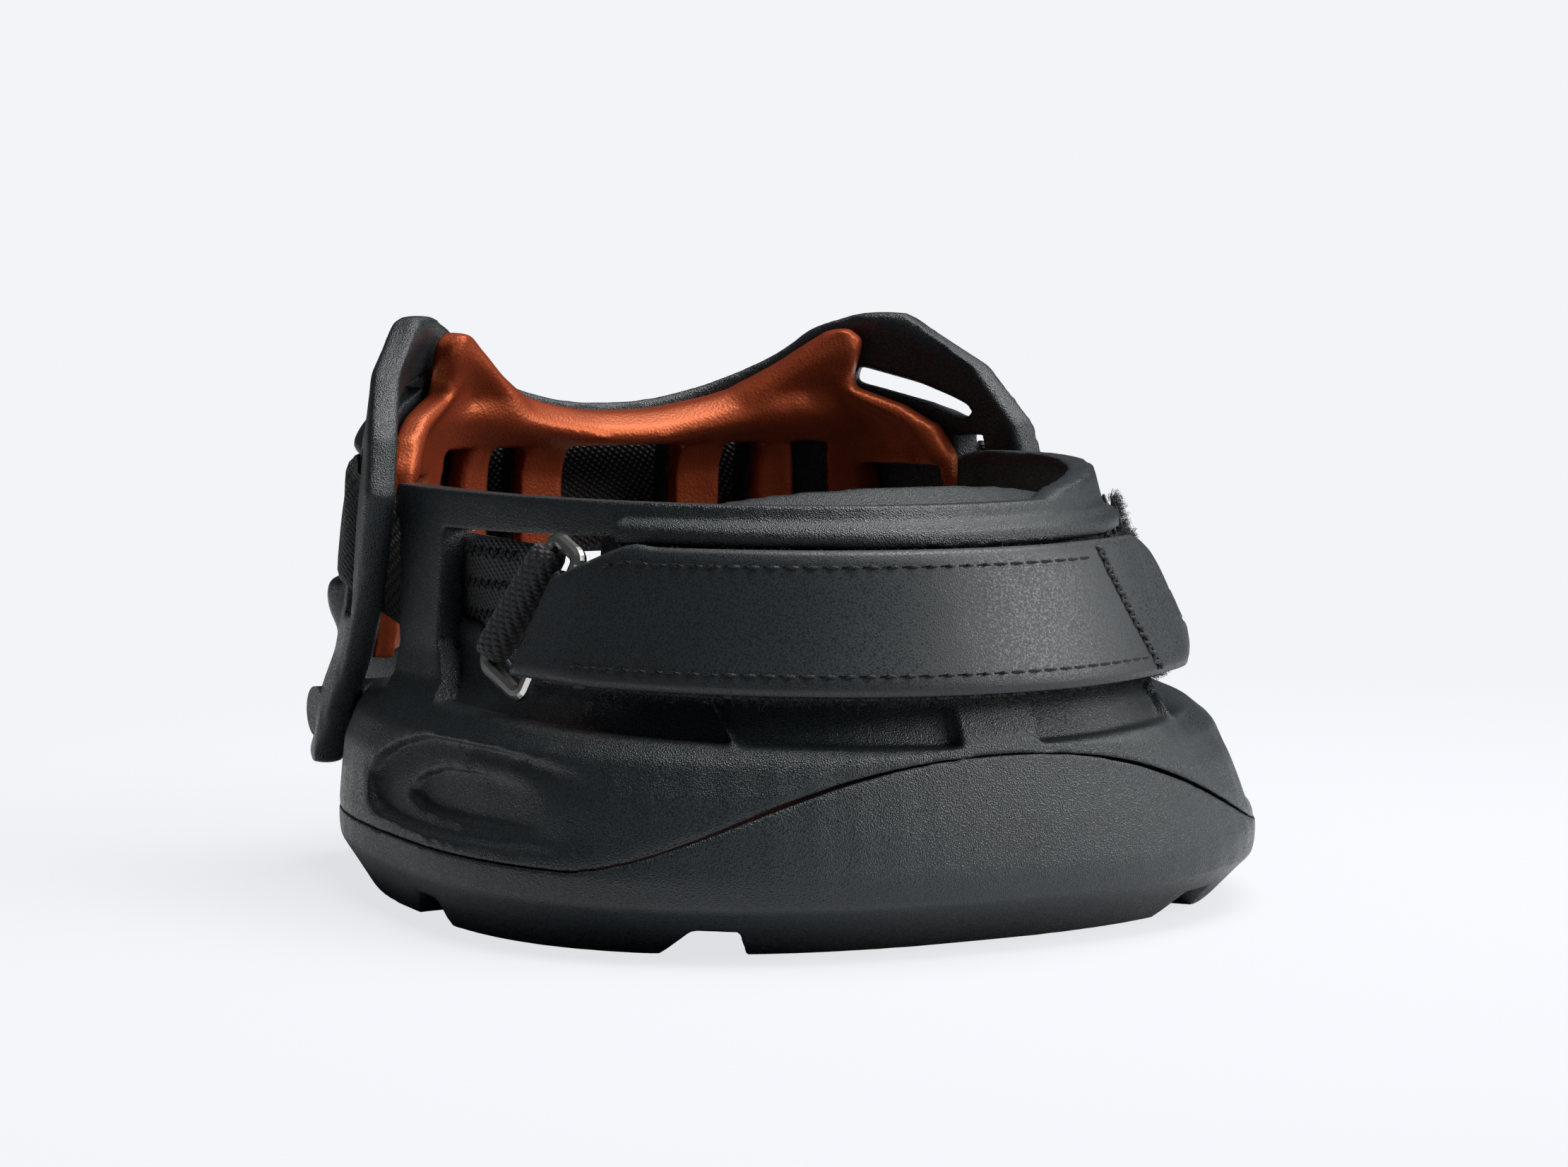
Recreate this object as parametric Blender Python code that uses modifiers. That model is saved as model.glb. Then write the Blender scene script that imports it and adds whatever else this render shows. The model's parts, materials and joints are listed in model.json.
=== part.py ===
"""Horse hoof boot: tread and toe cap, moulded upper, tilting heel cap with its soft lining,
and the webbing, ring and hook strap that close it over the hoof.

Frame: metres, +Z up, the toe towards -Y. The origin is under the middle tread pad, on the ground.
"""

import math

import bmesh
import bpy
from mathutils import Matrix, Vector

# Outsole and rim, measured from the origin
RIM_HALF_WIDTH = 0.0815
RIM_TOE_REACH = 0.0855
RIM_HEEL_REACH = 0.0760
RIM_TOP = 0.0143
RIM_BOTTOM = 0.0095
TREAD_INSET = 0.0057
TREAD_TOE_INSET = 0.0135
TREAD_HEEL_INSET = 0.0090
SOLE_FLOOR = 0.0100
GROOVE_DEPTH = 0.0053
GROOVE_WIDTH = 0.0080
GROOVE_SLOPE = 0.0070
GROOVE_ANGLES = (37.0, 90.0, 140.0)
GROOVE_REACH = 0.0220
PAD_GROOVE_WIDTH = 0.0060
PAD_GROOVE_DEPTH = 0.0030
PAD_HALF_WIDTH = 0.0230
PAD_HALF_LENGTH = 0.0200
PAD_FIELD_LENGTH = 0.0500

# Toe cap that the outsole carries up the front of the upper
SEAM_TOP = 0.0336
SEAM_HALF_WIDTH = RIM_HALF_WIDTH * 0.859
SEAM_GAP = 0.0003
SEAM_REACH_BACK = 0.0200

# Upper shell
ARM_TOP = 0.0760
ARM_RISE_FROM = 20.0
ARM_RISE_TO = 115.0
ARM_RISE = 0.0044
WALL = 0.0048
INNER_CLEARANCE = 0.0080
UPRIGHT_REAR = RIM_HEEL_REACH * 0.5066
UPRIGHT_FOOT_REAR = RIM_HEEL_REACH * 0.3816
ARM_NOTCH = 0.0035
ARM_DEPTH = 0.0062
QUARTER_TOP = 0.0368
HEEL_WALL_TOP = 0.0225
HEEL_WALL_START = RIM_HEEL_REACH * 0.737
RECESS_DEPTH = 0.0030
RIB_WIDTH = 0.0154
SCOOP_DEPTH = 0.0026
SCOOP_STEP = 0.0022
SCOOP_BEVEL = 0.0012

# Lip over the toe
LIP_TOP = 0.0728
LIP_THICKNESS = 0.0036
LIP_HALF_ANGLE = 50.0
LIP_COLUMNS = 26
LIP_PROUD = 0.0022
LIP_DEPTH = 0.0150
LIP_RISE = 0.0056
LIP_END_DEPTH = 0.0040

# Heel cap
CAP_HALF_WIDTH = RIM_HALF_WIDTH * 0.9387
HEEL_OVERHANG = 0.0125
CAP_HEEL_REACH = RIM_HEEL_REACH + HEEL_OVERHANG
CAP_FOOT = 0.0205
CAP_DIP = 0.0886
CAP_TOP = 0.1075
CAP_HEEL_FOOT = 0.0340
CAP_WALL = 0.0058
CAP_EDGE_ROUND = 0.0011
CAP_THIN_DEPTH = 0.0130
EAR_SLOT_LENGTH = 0.0245
EAR_SLOT_HEIGHT = 0.0042
EAR_SLOT_MIDDLE_Y = CAP_HEEL_REACH * 0.6220
EAR_SLOT_MIDDLE_Z = 0.0906
EAR_SLOT_RISE = 0.0083
GUIDE_PROUD = 0.0029
GUIDE_STEP = 0.0012
GUIDE_HEIGHT = 0.0080
LOWER_GUIDE_HEIGHT = 0.0110
GUIDE_SINK = 0.0014

# Pivot pins of the heel cap
PIVOT_Y = RIM_HEEL_REACH * 0.8158
PIVOT_Z = 0.0300
PIN_RADIUS = 0.0030
PIN_HEAD_RADIUS = 0.0050
PIN_HEAD_HEIGHT = 0.0016
PIN_SLACK = 0.0003
PIN_GRIP = 0.0042
PIN_SEAT = 0.0018
BOSS_RADIUS = 0.0058
BOSS_FOOT = 0.0165
BOSS_ROOT = RIM_HALF_WIDTH * 0.638
BOSS_FOOT_REACH = RIM_HALF_WIDTH * 0.7632
BOSS_GAP = 0.0005
BOSS_FOOT_FRONT_SHARE = 0.9
BOSS_FOOT_BACK_SHARE = 0.1

# Heel lining
LINING_THICKNESS = 0.0042
LINING_GAP = 0.0010
LINING_FOOT = 0.0420
LINING_ROLL = 0.0085
ROLL_FADE = 0.85
LINING_DROP = 0.0008
WINDOW_TOP = 0.0806
WINDOW_BOTTOM = 0.0520
MIDDLE_WINDOW_WIDTH = 0.0264
SIDE_SLOT_WIDTH = 0.0082
SIDE_SLOT_PLACE = 0.0266
OUTER_SLOT_WIDTH = 0.0078
OUTER_SLOT_ANGLE = 34.0
OUTER_SLOT_TURN = 41.0
OUTER_SLOT_TOP = 0.0806
OUTER_SLOT_BOTTOM = 0.0534
FRONT_WINDOW_LENGTH = 0.0180
FRONT_WINDOW_TOP = 0.0762
FRONT_WINDOW_PLACE = CAP_HEEL_REACH * 0.6070
STUD_RADIUS = 0.0022
STUD_HEIGHT = 0.0010
STUD_GAP = 0.0009
STUD_Z = 0.0660
STUD_ANGLE = 36.0

# Webbing round the heel
WEB_WIDTH = 0.0236
WEB_THICKNESS = 0.0018
WEB_GAP = 0.0003
WEB_LAY = 0.0005
WEB_MIDDLE = 0.0690
WEB_SLOT_REAR = CAP_HEEL_REACH * 0.5280
WEB_SLOT_FRONT = CAP_HEEL_REACH * 0.4380
WEB_SLOT_DROP = 0.0045
WEB_RUN_MIDDLE = 0.0563
WEB_SPLIT = CAP_HEEL_REACH * 0.5440

# Ring
RING_WIRE = 0.0030
RING_LENGTH = 0.0276
RING_TOP_SPACING = 0.0080
RING_LOW_SPACING = 0.0122
RING_CORNER = 0.0019
RING_PROUD = 0.0021

# Strap over the toe
STRAP_LOW = 0.0449
STRAP_HIGH = 0.0691
LAYER_GAP = 0.0004
BAND_GAP = 0.0006
BAND_THICKNESS = 0.0012
BAND_DROP = 0.0011
BAND_CORNER_RISE = 0.0062
LOOP_THICKNESS = 0.0010
LOOP_INSET = 0.0005
HOOK_THICKNESS = 0.0008
HOOK_INSET = 0.0012
FLAP_THICKNESS = 0.0017
FLAP_LIFT = 0.0042
FLAP_RING_WIDTH = 0.0202

# Workshop values
CUT_FROM_SHARE = 0.45
OVERRUN = 0.0100
MERGE = 0.000001
FULL_TURN = 360.0
HALF_TURN = 180.0
REAR_FROM = 40.0
CLOTH_SMOOTH = 60.0

# Outline of the wall at each height: shares of the arm height, the rim's half width, its toe reach,
# its heel reach, and the place of the widest point, then the powers of the front and rear curves
BODY_SHARES = (
    (0.188, 1.000, 1.000, 1.000, -0.10, 2.40, 3.0),
    (0.289, 0.982, 0.994, 0.993, -0.04, 2.35, 3.0),
    (0.368, 0.967, 0.982, 0.985, 0.00, 2.30, 3.0),
    (0.441, 0.933, 0.968, 0.970, 0.03, 2.25, 3.0),
    (0.487, 0.890, 0.950, 0.940, 0.08, 2.20, 3.0),
    (0.539, 0.847, 0.927, 0.900, 0.18, 2.15, 3.0),
    (0.605, 0.826, 0.901, 0.870, 0.25, 2.10, 3.0),
    (0.737, 0.813, 0.848, 0.850, 0.30, 2.10, 3.0),
    (0.921, 0.801, 0.784, 0.830, 0.34, 2.05, 3.0),
    (1.000, 0.793, 0.757, 0.820, 0.37, 2.05, 3.0),
    (1.060, 0.786, 0.735, 0.815, 0.38, 2.05, 3.0),
)
# Thickness of the upper's wall at the same heights, as shares of WALL
BODY_WALL_SHARES = (1.70, 1.70, 1.60, 1.40, 1.20, 1.08, 1.00, 1.00, 1.00, 1.00, 1.00)
# The same kind of outline for the heel cap: shares of its top height, its half width, its heel reach,
# and the place of its widest point, then the curve's power and how much it narrows towards the heel
CAP_SHARES = (
    (0.190, 0.985, 0.995, 0.565, 2.6, 0.00),
    (0.307, 0.986, 1.000, 0.520, 2.7, 0.04),
    (0.372, 0.976, 1.000, 0.460, 2.8, 0.10),
    (0.460, 0.970, 1.000, 0.410, 3.0, 0.14),
    (0.558, 0.975, 1.000, 0.360, 3.0, 0.16),
    (0.660, 0.979, 0.998, 0.315, 3.0, 0.18),
    (0.748, 0.975, 0.990, 0.290, 2.9, 0.20),
    (0.842, 0.967, 0.958, 0.271, 2.8, 0.20),
    (0.921, 0.956, 0.915, 0.271, 2.8, 0.20),
    (1.000, 0.942, 0.875, 0.271, 2.8, 0.20),
)
CAP_TOE_SHARE = 0.70
# Front edge of the cap at each height: shares of its top height and of its heel reach
CAP_FRONT_SHARES = ((0.190, 0.650), (0.235, 0.633), (0.307, 0.552), (0.372, 0.485), (0.460, 0.418),
                    (0.558, 0.362), (0.660, 0.318), (0.748, 0.307), (0.781, 0.335), (0.842, 0.392),
                    (0.900, 0.459), (0.940, 0.520), (0.964, 0.566), (0.980, 0.585), (0.988, 0.597),
                    (1.000, 0.640))
# Top edge of the cap from the middle to the ear: shares of the way round and of the rise
CAP_RISE_SHARES = ((0.0, 0.0), (0.07, 0.012), (0.14, 0.048), (0.256, 0.170), (0.30, 0.240), (0.368, 0.349),
                   (0.42, 0.444), (0.477, 0.550), (0.52, 0.635), (0.56, 0.709), (0.602, 0.785),
                   (0.653, 0.855), (0.70, 0.900), (0.80, 0.965), (0.88, 0.992), (0.95, 1.0), (1.0, 0.985))
# How much of the wall's thickness the cap loses at its top edge, at each share of the way round
CAP_THIN_SHARES = ((0.0, 0.45), (0.62, 0.45), (0.84, 0.0))
# Lower edge of the cap: shares of the way round and of the fall from the heel to the side foot
CAP_FALL_SHARES = ((0.0, 0.0), (0.45, 0.0), (0.62, 0.45), (0.75, 0.92), (0.88, 1.0), (1.0, 1.0))
# Top edge of the lining: shares of the way round and of the cap's top height
LINING_RISE_SHARES = ((0.0, 0.8205), (0.12, 0.822), (0.21, 0.829), (0.423, 0.849), (0.51, 0.860),
                      (0.58, 0.876), (0.633, 0.891), (0.687, 0.908), (0.725, 0.923), (0.758, 0.936),
                      (0.786, 0.948), (0.829, 0.961), (0.861, 0.970), (0.90, 0.975), (0.947, 0.978),
                      (0.975, 0.971), (1.0, 0.957))
# Front edge of the lining: shares of the cap's top height and of its heel reach
LINING_FRONT_SHARES = ((0.380, 0.522), (0.660, 0.520), (0.705, 0.523), (0.740, 0.536), (0.767, 0.555),
                       (0.794, 0.592), (0.811, 0.627), (0.831, 0.692), (0.844, 0.748), (0.859, 0.768),
                       (0.880, 0.762), (0.908, 0.746), (0.928, 0.734), (0.953, 0.724), (1.000, 0.718))
# Room between the lining and the cap at each height: shares of the cap's top height and of the gap
LINING_ROOM_SHARES = ((0.380, 1.0), (0.800, 1.0), (0.860, 1.5), (0.920, 1.9), (1.000, 2.1))
LINING_UP_SHARES = (0.0, 0.32, 0.60, 0.70, 0.77, 0.83, 0.88, 0.925, 0.965, 0.99, 1.0)
# Bulge of the lining's roll: shares of its height and of LINING_ROLL
ROLL_SHARES = ((0.0, 0.0), (0.70, 0.0), (0.80, 0.22), (0.87, 0.72), (0.925, 1.0), (0.965, 0.86),
               (0.99, 0.5), (1.0, 0.2))
# Rim along the lining's front edge: shares of the way round and of the roll
FRONT_RIM_SHARES = ((0.0, 0.0), (0.84, 0.0), (0.90, 0.16), (0.95, 0.20), (0.985, 0.14), (1.0, 0.0))
# Outline of the ear slot: shares of its length towards the toe and of its height
EAR_SLOT_SHARES = ((-0.46, 0.50), (0.40, 0.50), (0.47, 0.44), (0.505, 0.28), (0.49, 0.05), (0.44, -0.20),
                   (0.38, -0.40), (0.30, -0.50), (-0.49, -0.50), (-0.52, -0.35))
# Webbing guide in section: shares of its height and of how far it stands proud
GUIDE_SHARES = ((0.0, 0.55), (0.10, 0.95), (0.35, 1.0), (0.60, 0.82), (0.82, 0.48), (1.0, 0.08))
# Scoop in each quarter: angle from the toe, lower and upper edge as shares of ARM_TOP, depth share
SCOOP_SHARES = ((103, 0.250, 0.330, 0.7), (100, 0.225, 0.375, 1.0), (94, 0.215, 0.415, 1.0),
                (86, 0.212, 0.445, 1.0), (76, 0.214, 0.450, 0.85), (66, 0.222, 0.440, 0.6),
                (56, 0.235, 0.415, 0.25), (48, 0.250, 0.380, -0.2))
INNER_SCOOP_SHARES = ((92, 0.275, 0.315, 0.8), (89, 0.255, 0.350, 1.0), (82, 0.250, 0.382, 1.0),
                      (73, 0.252, 0.388, 0.85), (63, 0.262, 0.376, 0.5), (55, 0.280, 0.352, -0.1))
# Side window and toe recess: angle from the toe and height as a share of ARM_TOP at each corner
WINDOW_CORNERS = (("rear", 82.0, 0.912, 86.0, 0.500), ("front", 51.0, 0.925, 36.0, 0.476))
RECESS_CORNERS = (("rear", 50.0, 0.915, 35.6, 0.474), ("front", None, 0.905, None, 0.466))

# Ring: angle from the toe and height of its top and bottom middle
RING_PLACES = ((-56.0, 0.0692, 1.15), (-70.4, 0.0425, 0.50))
# Webbing from the slot in the cap to the window: shares of RIM_HALF_WIDTH outwards and backwards,
# then the share of the way down to the strap's height
WEB_SHARES = ((0.880, 0.580, 0.12), (0.838, 0.555, 0.36), (0.777, 0.535, 0.66), (0.724, 0.516, 0.92),
              (0.711, 0.478, 1.0), (0.711, 0.386, 1.0), (0.716, 0.236, 1.0), (0.727, 0.091, 1.0))
# Strap: how far its edges lean, and where the flap lifts off: angle from the toe and share
STRAP_LEAN_SHARE = 0.16
LEAN_ANGLE = 58.0
FLAP_LIFT_SHARES = ((-60.0, 0.0), (22.0, 0.0), (34.0, 0.25), (42.0, 0.62), (52.0, 1.0))
# Right end of the flap: angle from the toe, lower and upper edge as shares of the strap's width
FLAP_END_SHARES = ((34.0, 0.0, 1.0), (36.0, 0.0, 0.985), (38.0, 0.0, 0.945), (39.5, 0.005, 0.89),
                   (41.0, 0.02, 0.80), (42.5, 0.05, 0.69), (44.0, 0.10, 0.56),
                   (45.2, 0.17, 0.43), (46.0, 0.25, 0.34))
# Right end of the band: angle from the toe, share of BAND_CORNER_RISE
BAND_END_SHARES = ((56.5, 0.0), (57.5, 0.55), (59.0, 0.95), (61.0, 1.0), (64.0, 0.8))
# Where the far run of webbing is sewn behind the band: angles from the toe
RIGHT_RUN_ANGLES = (66.0, 60.0, 55.0)
BAND_START = -54.0
BAND_END = 64.0
FLAP_START = -51.0
FLAP_STEP = 5.0
FLAP_COUNT = 17
LOOP_START = -52.0
LOOP_END = 63.5
HOOK_START = 14.0
HOOK_END = 40.0

COLUMNS = 72
CAP_COLUMNS = 44
GUIDE_STEPS = 7
GUIDE_START = 0.55
GUIDE_END = 0.76
CAP_ROWS = 8


def clear_scene():
    for block in list(bpy.data.objects):
        bpy.data.objects.remove(block, do_unlink=True)
    for block in list(bpy.data.meshes):
        bpy.data.meshes.remove(block)


def blend_table(table, place):
    """The row of a table at this place, by straight lines between its rows."""
    if place <= table[0][0]:
        return list(table[0][1:])
    for low, high in zip(table, table[1:]):
        if place <= high[0]:
            share = (place - low[0]) / (high[0] - low[0])
            return [a + (b - a) * share for a, b in zip(low[1:], high[1:])]
    return list(table[-1][1:])


def curve_share(table, place):
    """One value of a two-column table, by a smooth curve through its points."""
    count = len(table)
    for index in range(count - 1):
        if place <= table[index + 1][0] or index == count - 2:
            break
    (x0, y0), (x1, y1) = table[index], table[index + 1]
    before = table[max(index - 1, 0)]
    after = table[min(index + 2, count - 1)]
    slope0 = (y1 - before[1]) / (x1 - before[0])
    slope1 = (after[1] - y0) / (after[0] - x0)
    share = min(max((place - x0) / (x1 - x0), 0.0), 1.0)
    width = x1 - x0
    square, cube = share ** 2, share ** 3
    return ((2 * cube - 3 * square + 1) * y0 + (cube - 2 * square + share) * width * slope0
            + (3 * square - 2 * cube) * y1 + (cube - square) * width * slope1)


def outline_point(section, angle, height, offset):
    """A point of a hoof-shaped outline: angle 0 at the toe, positive towards +X."""
    half_width, toe, heel, widest, front_power, rear_power = section
    side, ahead = math.sin(math.radians(angle)), math.cos(math.radians(angle))
    power = front_power if ahead > 0 else rear_power
    reach = widest + toe + offset if ahead > 0 else heel + offset - widest
    radius = (abs(side) ** power + abs(ahead) ** power) ** (-1 / power)
    return Vector(((half_width + offset) * side * radius, widest - reach * ahead * radius, height))


def body_section(height):
    row = blend_table(BODY_SHARES, height / ARM_TOP)
    return (row[0] * RIM_HALF_WIDTH, row[1] * RIM_TOE_REACH, row[2] * RIM_HEEL_REACH,
            row[3] * RIM_HALF_WIDTH, row[4], row[5])


def body_point(angle, height, offset=0.0):
    return outline_point(body_section(height), angle, height, offset)


def body_wall(height):
    table = [(row[0], share) for row, share in zip(BODY_SHARES, BODY_WALL_SHARES)]
    return blend_table(table, height / ARM_TOP)[0] * WALL


def cap_point(angle, height, offset=0.0):
    """A point of the heel cap's outer face: angle 180 at the heel."""
    row = blend_table(CAP_SHARES, height / CAP_TOP)
    widest = row[2] * CAP_HEEL_REACH
    section = (row[0] * CAP_HALF_WIDTH, CAP_TOE_SHARE * CAP_HEEL_REACH, row[1] * CAP_HEEL_REACH,
               widest, row[3], row[3])
    point = outline_point(section, angle, height, offset)
    back = (point.y - widest) / (row[1] * CAP_HEEL_REACH - widest)
    point.x *= 1 - row[4] * max(back, 0.0)
    return point


def seam_height(x):
    """Top edge of the outsole's toe cap."""
    share = min(abs(x) / SEAM_HALF_WIDTH, 1.0)
    return RIM_TOP + SEAM_GAP + (SEAM_TOP - RIM_TOP) * (1 - share ** 2.3) ** 1.4


def angle_of_y(place, height, point_of, start, end):
    """The angle between start and end at which an outline passes this Y."""
    for _ in range(30):
        middle = (start + end) / 2
        if point_of(middle, height).y < place:
            start = middle
        else:
            end = middle
    return (start + end) / 2


def angle_of_x(place, height):
    """The angle near the toe at which the wall passes this X."""
    low, high = 0.0, 60.0
    for _ in range(30):
        middle = (low + high) / 2
        if body_point(middle, height).x < place:
            low = middle
        else:
            high = middle
    return (low + high) / 2


def material(name, color, roughness, metallic=0.0):
    made = bpy.data.materials.get(name) or bpy.data.materials.new(name)
    made.use_nodes = True
    shader = made.node_tree.nodes["Principled BSDF"]
    shader.inputs["Base Color"].default_value = (*color, 1.0)
    shader.inputs["Roughness"].default_value = roughness
    shader.inputs["Metallic"].default_value = metallic
    made.diffuse_color = (*color, 1.0)
    return made


def new_object(name, mesh, group):
    made = bpy.data.objects.new(name, mesh)
    group.objects.link(made)
    if group.hide_render:
        made.display_type = "WIRE"
    return made


def mesh_from(name, builder):
    """Turn a bmesh into a mesh of flat faces that point out."""
    bmesh.ops.remove_doubles(builder, verts=builder.verts, dist=MERGE)
    bmesh.ops.triangulate(builder, faces=builder.faces)
    bmesh.ops.recalc_face_normals(builder, faces=builder.faces)
    mesh = bpy.data.meshes.new(name)
    builder.to_mesh(mesh)
    builder.free()
    return mesh


def loft(name, loops, ring, group):
    """Skin a run of like loops. A ring joins its last loop to its first; otherwise both ends are capped."""
    builder = bmesh.new()
    grid = [[builder.verts.new(point) for point in loop] for loop in loops]
    pairs = list(zip(grid, grid[1:] + grid[:1])) if ring else list(zip(grid, grid[1:]))
    for first, second in pairs:
        for index in range(len(first)):
            after = (index + 1) % len(first)
            builder.faces.new((first[index], first[after], second[after], second[index]))
    if not ring:
        builder.faces.new(grid[0][::-1])
        builder.faces.new(grid[-1])
    return new_object(name, mesh_from(name, builder), group)


def sheet(name, rows, group):
    """An open surface through rows of points."""
    builder = bmesh.new()
    grid = [[builder.verts.new(point) for point in row] for row in rows]
    for low, high in zip(grid, grid[1:]):
        for index in range(len(low) - 1):
            builder.faces.new((low[index], low[index + 1], high[index + 1], high[index]))
    mesh = bpy.data.meshes.new(name)
    builder.to_mesh(mesh)
    builder.free()
    return new_object(name, mesh, group)


def slab(name, rows_in, rows_out, group):
    """A closed solid between two like grids of points."""
    loops = []
    for inner, outer in zip(rows_in, rows_out):
        loops.append(list(inner) + list(outer)[::-1])
    return loft(name, loops, False, group)


def round_edges(target, edge_round):
    """Rounds the sharp rims of a shell and leaves flat triangles."""
    edge = target.modifiers.new("edge", "BEVEL")
    edge.width = edge_round
    edge.segments = 2
    edge.limit_method = "ANGLE"
    edge.angle_limit = math.radians(50)
    target.modifiers.new("flat", "TRIANGULATE")
    apply_modifiers(target)


def boolean(target, other, operation):
    step = target.modifiers.new(other.name, "BOOLEAN")
    step.operation = operation
    step.object = other
    step.solver = "EXACT"


def apply_modifiers(target):
    """Bake the modifiers into the mesh and remove the helpers that they used."""
    graph = bpy.context.evaluated_depsgraph_get()
    graph.update()
    baked = bpy.data.meshes.new_from_object(target.evaluated_get(graph))
    helpers = [step.object for step in target.modifiers if step.type == "BOOLEAN"]
    target.modifiers.clear()
    target.data = baked
    for helper in helpers:
        bpy.data.objects.remove(helper, do_unlink=True)


def finish(target, look, smooth_angle=40.0):
    target.data.materials.clear()
    target.data.materials.append(look)
    target.data.shade_smooth()
    target.data.set_sharp_from_angle(angle=math.radians(smooth_angle))


def profile_prism(name, outline, half_width, group):
    """A side profile of (y, z) points, extruded across the boot."""
    loops = [[Vector((x, y, z)) for y, z in outline] for x in (-half_width, half_width)]
    return loft(name, loops, False, group)


def box(name, low, high, group, turn=0.0):
    """A cube between two corners, turned about the vertical through its middle."""
    builder = bmesh.new()
    bmesh.ops.create_cube(builder, size=1.0)
    size = Vector(high) - Vector(low)
    middle = (Vector(high) + Vector(low)) / 2
    place = Matrix.Translation(middle) @ Matrix.Rotation(math.radians(turn), 4, "Z")
    bmesh.ops.transform(builder, matrix=place @ Matrix.Diagonal((*size, 1.0)), verts=builder.verts)
    return new_object(name, mesh_from(name, builder), group)


def cylinder(name, radius, start, end, group, segments=24):
    """A round bar between two points."""
    builder = bmesh.new()
    start, end = Vector(start), Vector(end)
    axis = end - start
    turn = axis.to_track_quat("Z", "Y").to_matrix().to_4x4()
    bmesh.ops.create_cone(builder, cap_ends=True, segments=segments, radius1=radius, radius2=radius,
                          depth=axis.length, matrix=Matrix.Translation((start + end) / 2) @ turn)
    return new_object(name, mesh_from(name, builder), group)


def sole_edge(angle):
    """Top edge of the sole: it follows the seam in front and stays level behind."""
    ahead = math.cos(math.radians(angle)) > 0
    return seam_height(body_point(angle, RIM_TOP).x if ahead else SEAM_HALF_WIDTH)


def make_outsole(parts, cutters, look):
    """Tread plate with its bevelled rim, and the toe cap that rises to the seam."""
    angles = [FULL_TURN * index / COLUMNS for index in range(COLUMNS)]
    rim = body_section(RIM_TOP)
    ground = (rim[0] - TREAD_INSET, rim[1] - TREAD_TOE_INSET, rim[2] - TREAD_HEEL_INSET, *rim[3:])
    wall = body_wall(RIM_TOP)
    rise_shares = (0.25, 0.5, 0.75, 1.0)
    loops = [[outline_point(ground, angle, 0.0, 0.0) for angle in angles],
             [body_point(angle, RIM_BOTTOM, -TREAD_INSET * 0.06) for angle in angles],
             [body_point(angle, RIM_TOP) for angle in angles]]
    for share in rise_shares:
        loop = []
        for angle in angles:
            top = sole_edge(angle)
            loop.append(body_point(angle, RIM_TOP + (top - RIM_TOP) * share))
        loops.append(loop)
    for share in (1.0, 0.5):
        loop = []
        for angle in angles:
            top = sole_edge(angle)
            height = RIM_TOP + (top - RIM_TOP) * share
            loop.append(body_point(angle, height, -body_wall(height)))
        loops.append(loop)
    loops.append([body_point(angle, SOLE_FLOOR, -wall - INNER_CLEARANCE * 0.1) for angle in angles])
    sole = loft("outsole", loops, False, parts)
    outline = ((0.0, GROOVE_DEPTH), (GROOVE_WIDTH, GROOVE_DEPTH), (GROOVE_WIDTH + GROOVE_SLOPE, 0.0),
               (GROOVE_WIDTH + GROOVE_SLOPE, -OVERRUN), (0.0, -OVERRUN))
    turns = [(angle * flip, flip) for flip in (1, -1) for angle in GROOVE_ANGLES]
    for index, (angle, flip) in enumerate(turns):
        edge = outline_point(ground, angle, 0.0, 0.0)
        outward = Vector((edge.x, edge.y, 0.0)).normalized()
        along = Vector((-outward.y, outward.x, 0.0)) * flip
        ends = []
        for reach in (-GROOVE_REACH, OVERRUN + TREAD_INSET):
            base = edge + outward * reach - along * (GROOVE_WIDTH + GROOVE_SLOPE) / 2
            ends.append([base + along * across + Vector((0.0, 0.0, height)) for across, height in outline])
        boolean(sole, loft(f"groove_cutter_{index}", ends, False, cutters), "DIFFERENCE")
    reach = PAD_FIELD_LENGTH
    for side in (-1, 1):
        middle = side * (PAD_HALF_WIDTH + PAD_GROOVE_WIDTH / 2)
        half = PAD_GROOVE_WIDTH / 2
        boolean(sole, box(f"pad_cutter_long_{side}", (middle - half, -reach, -OVERRUN),
                          (middle + half, reach, PAD_GROOVE_DEPTH), cutters), "DIFFERENCE")
        middle = side * (PAD_HALF_LENGTH + PAD_GROOVE_WIDTH / 2)
        boolean(sole, box(f"pad_cutter_cross_{side}", (-reach, middle - half, -OVERRUN),
                          (reach, middle + half, PAD_GROOVE_DEPTH), cutters), "DIFFERENCE")
    apply_modifiers(sole)
    finish(sole, look)
    return sole


def arm_top(angle):
    """Top edge of the shell: the arm on the +X side arches up."""
    share = 0.0
    if ARM_RISE_FROM < angle < ARM_RISE_TO:
        share = math.sin(math.pi * (angle - ARM_RISE_FROM) / (ARM_RISE_TO - ARM_RISE_FROM)) ** 0.6
    return ARM_TOP + ARM_RISE * share


def wall_cutter(name, corners, side, depth_in, depth_out, cutters, columns=8, rows=3):
    """A cutter that follows the curved wall between two slanted edges."""
    _, rear_top, rear_top_z, rear_low, rear_low_z = corners[0]
    _, front_top, front_top_z, front_low, front_low_z = corners[1]
    inner, outer = [], []
    for column in range(columns + 1):
        across = column / columns
        top_angle = rear_top + (front_top - rear_top) * across
        low_angle = rear_low + (front_low - rear_low) * across
        top_z = (rear_top_z + (front_top_z - rear_top_z) * across) * ARM_TOP
        low_z = (rear_low_z + (front_low_z - rear_low_z) * across) * ARM_TOP
        inner.append([])
        outer.append([])
        for row in range(rows + 1):
            up = row / rows
            angle = side * (low_angle + (top_angle - low_angle) * up)
            height = low_z + (top_z - low_z) * up
            inner[-1].append(body_point(angle, height, depth_in))
            outer[-1].append(body_point(angle, height, depth_out))
    return slab(name, inner, outer, cutters)


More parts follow.
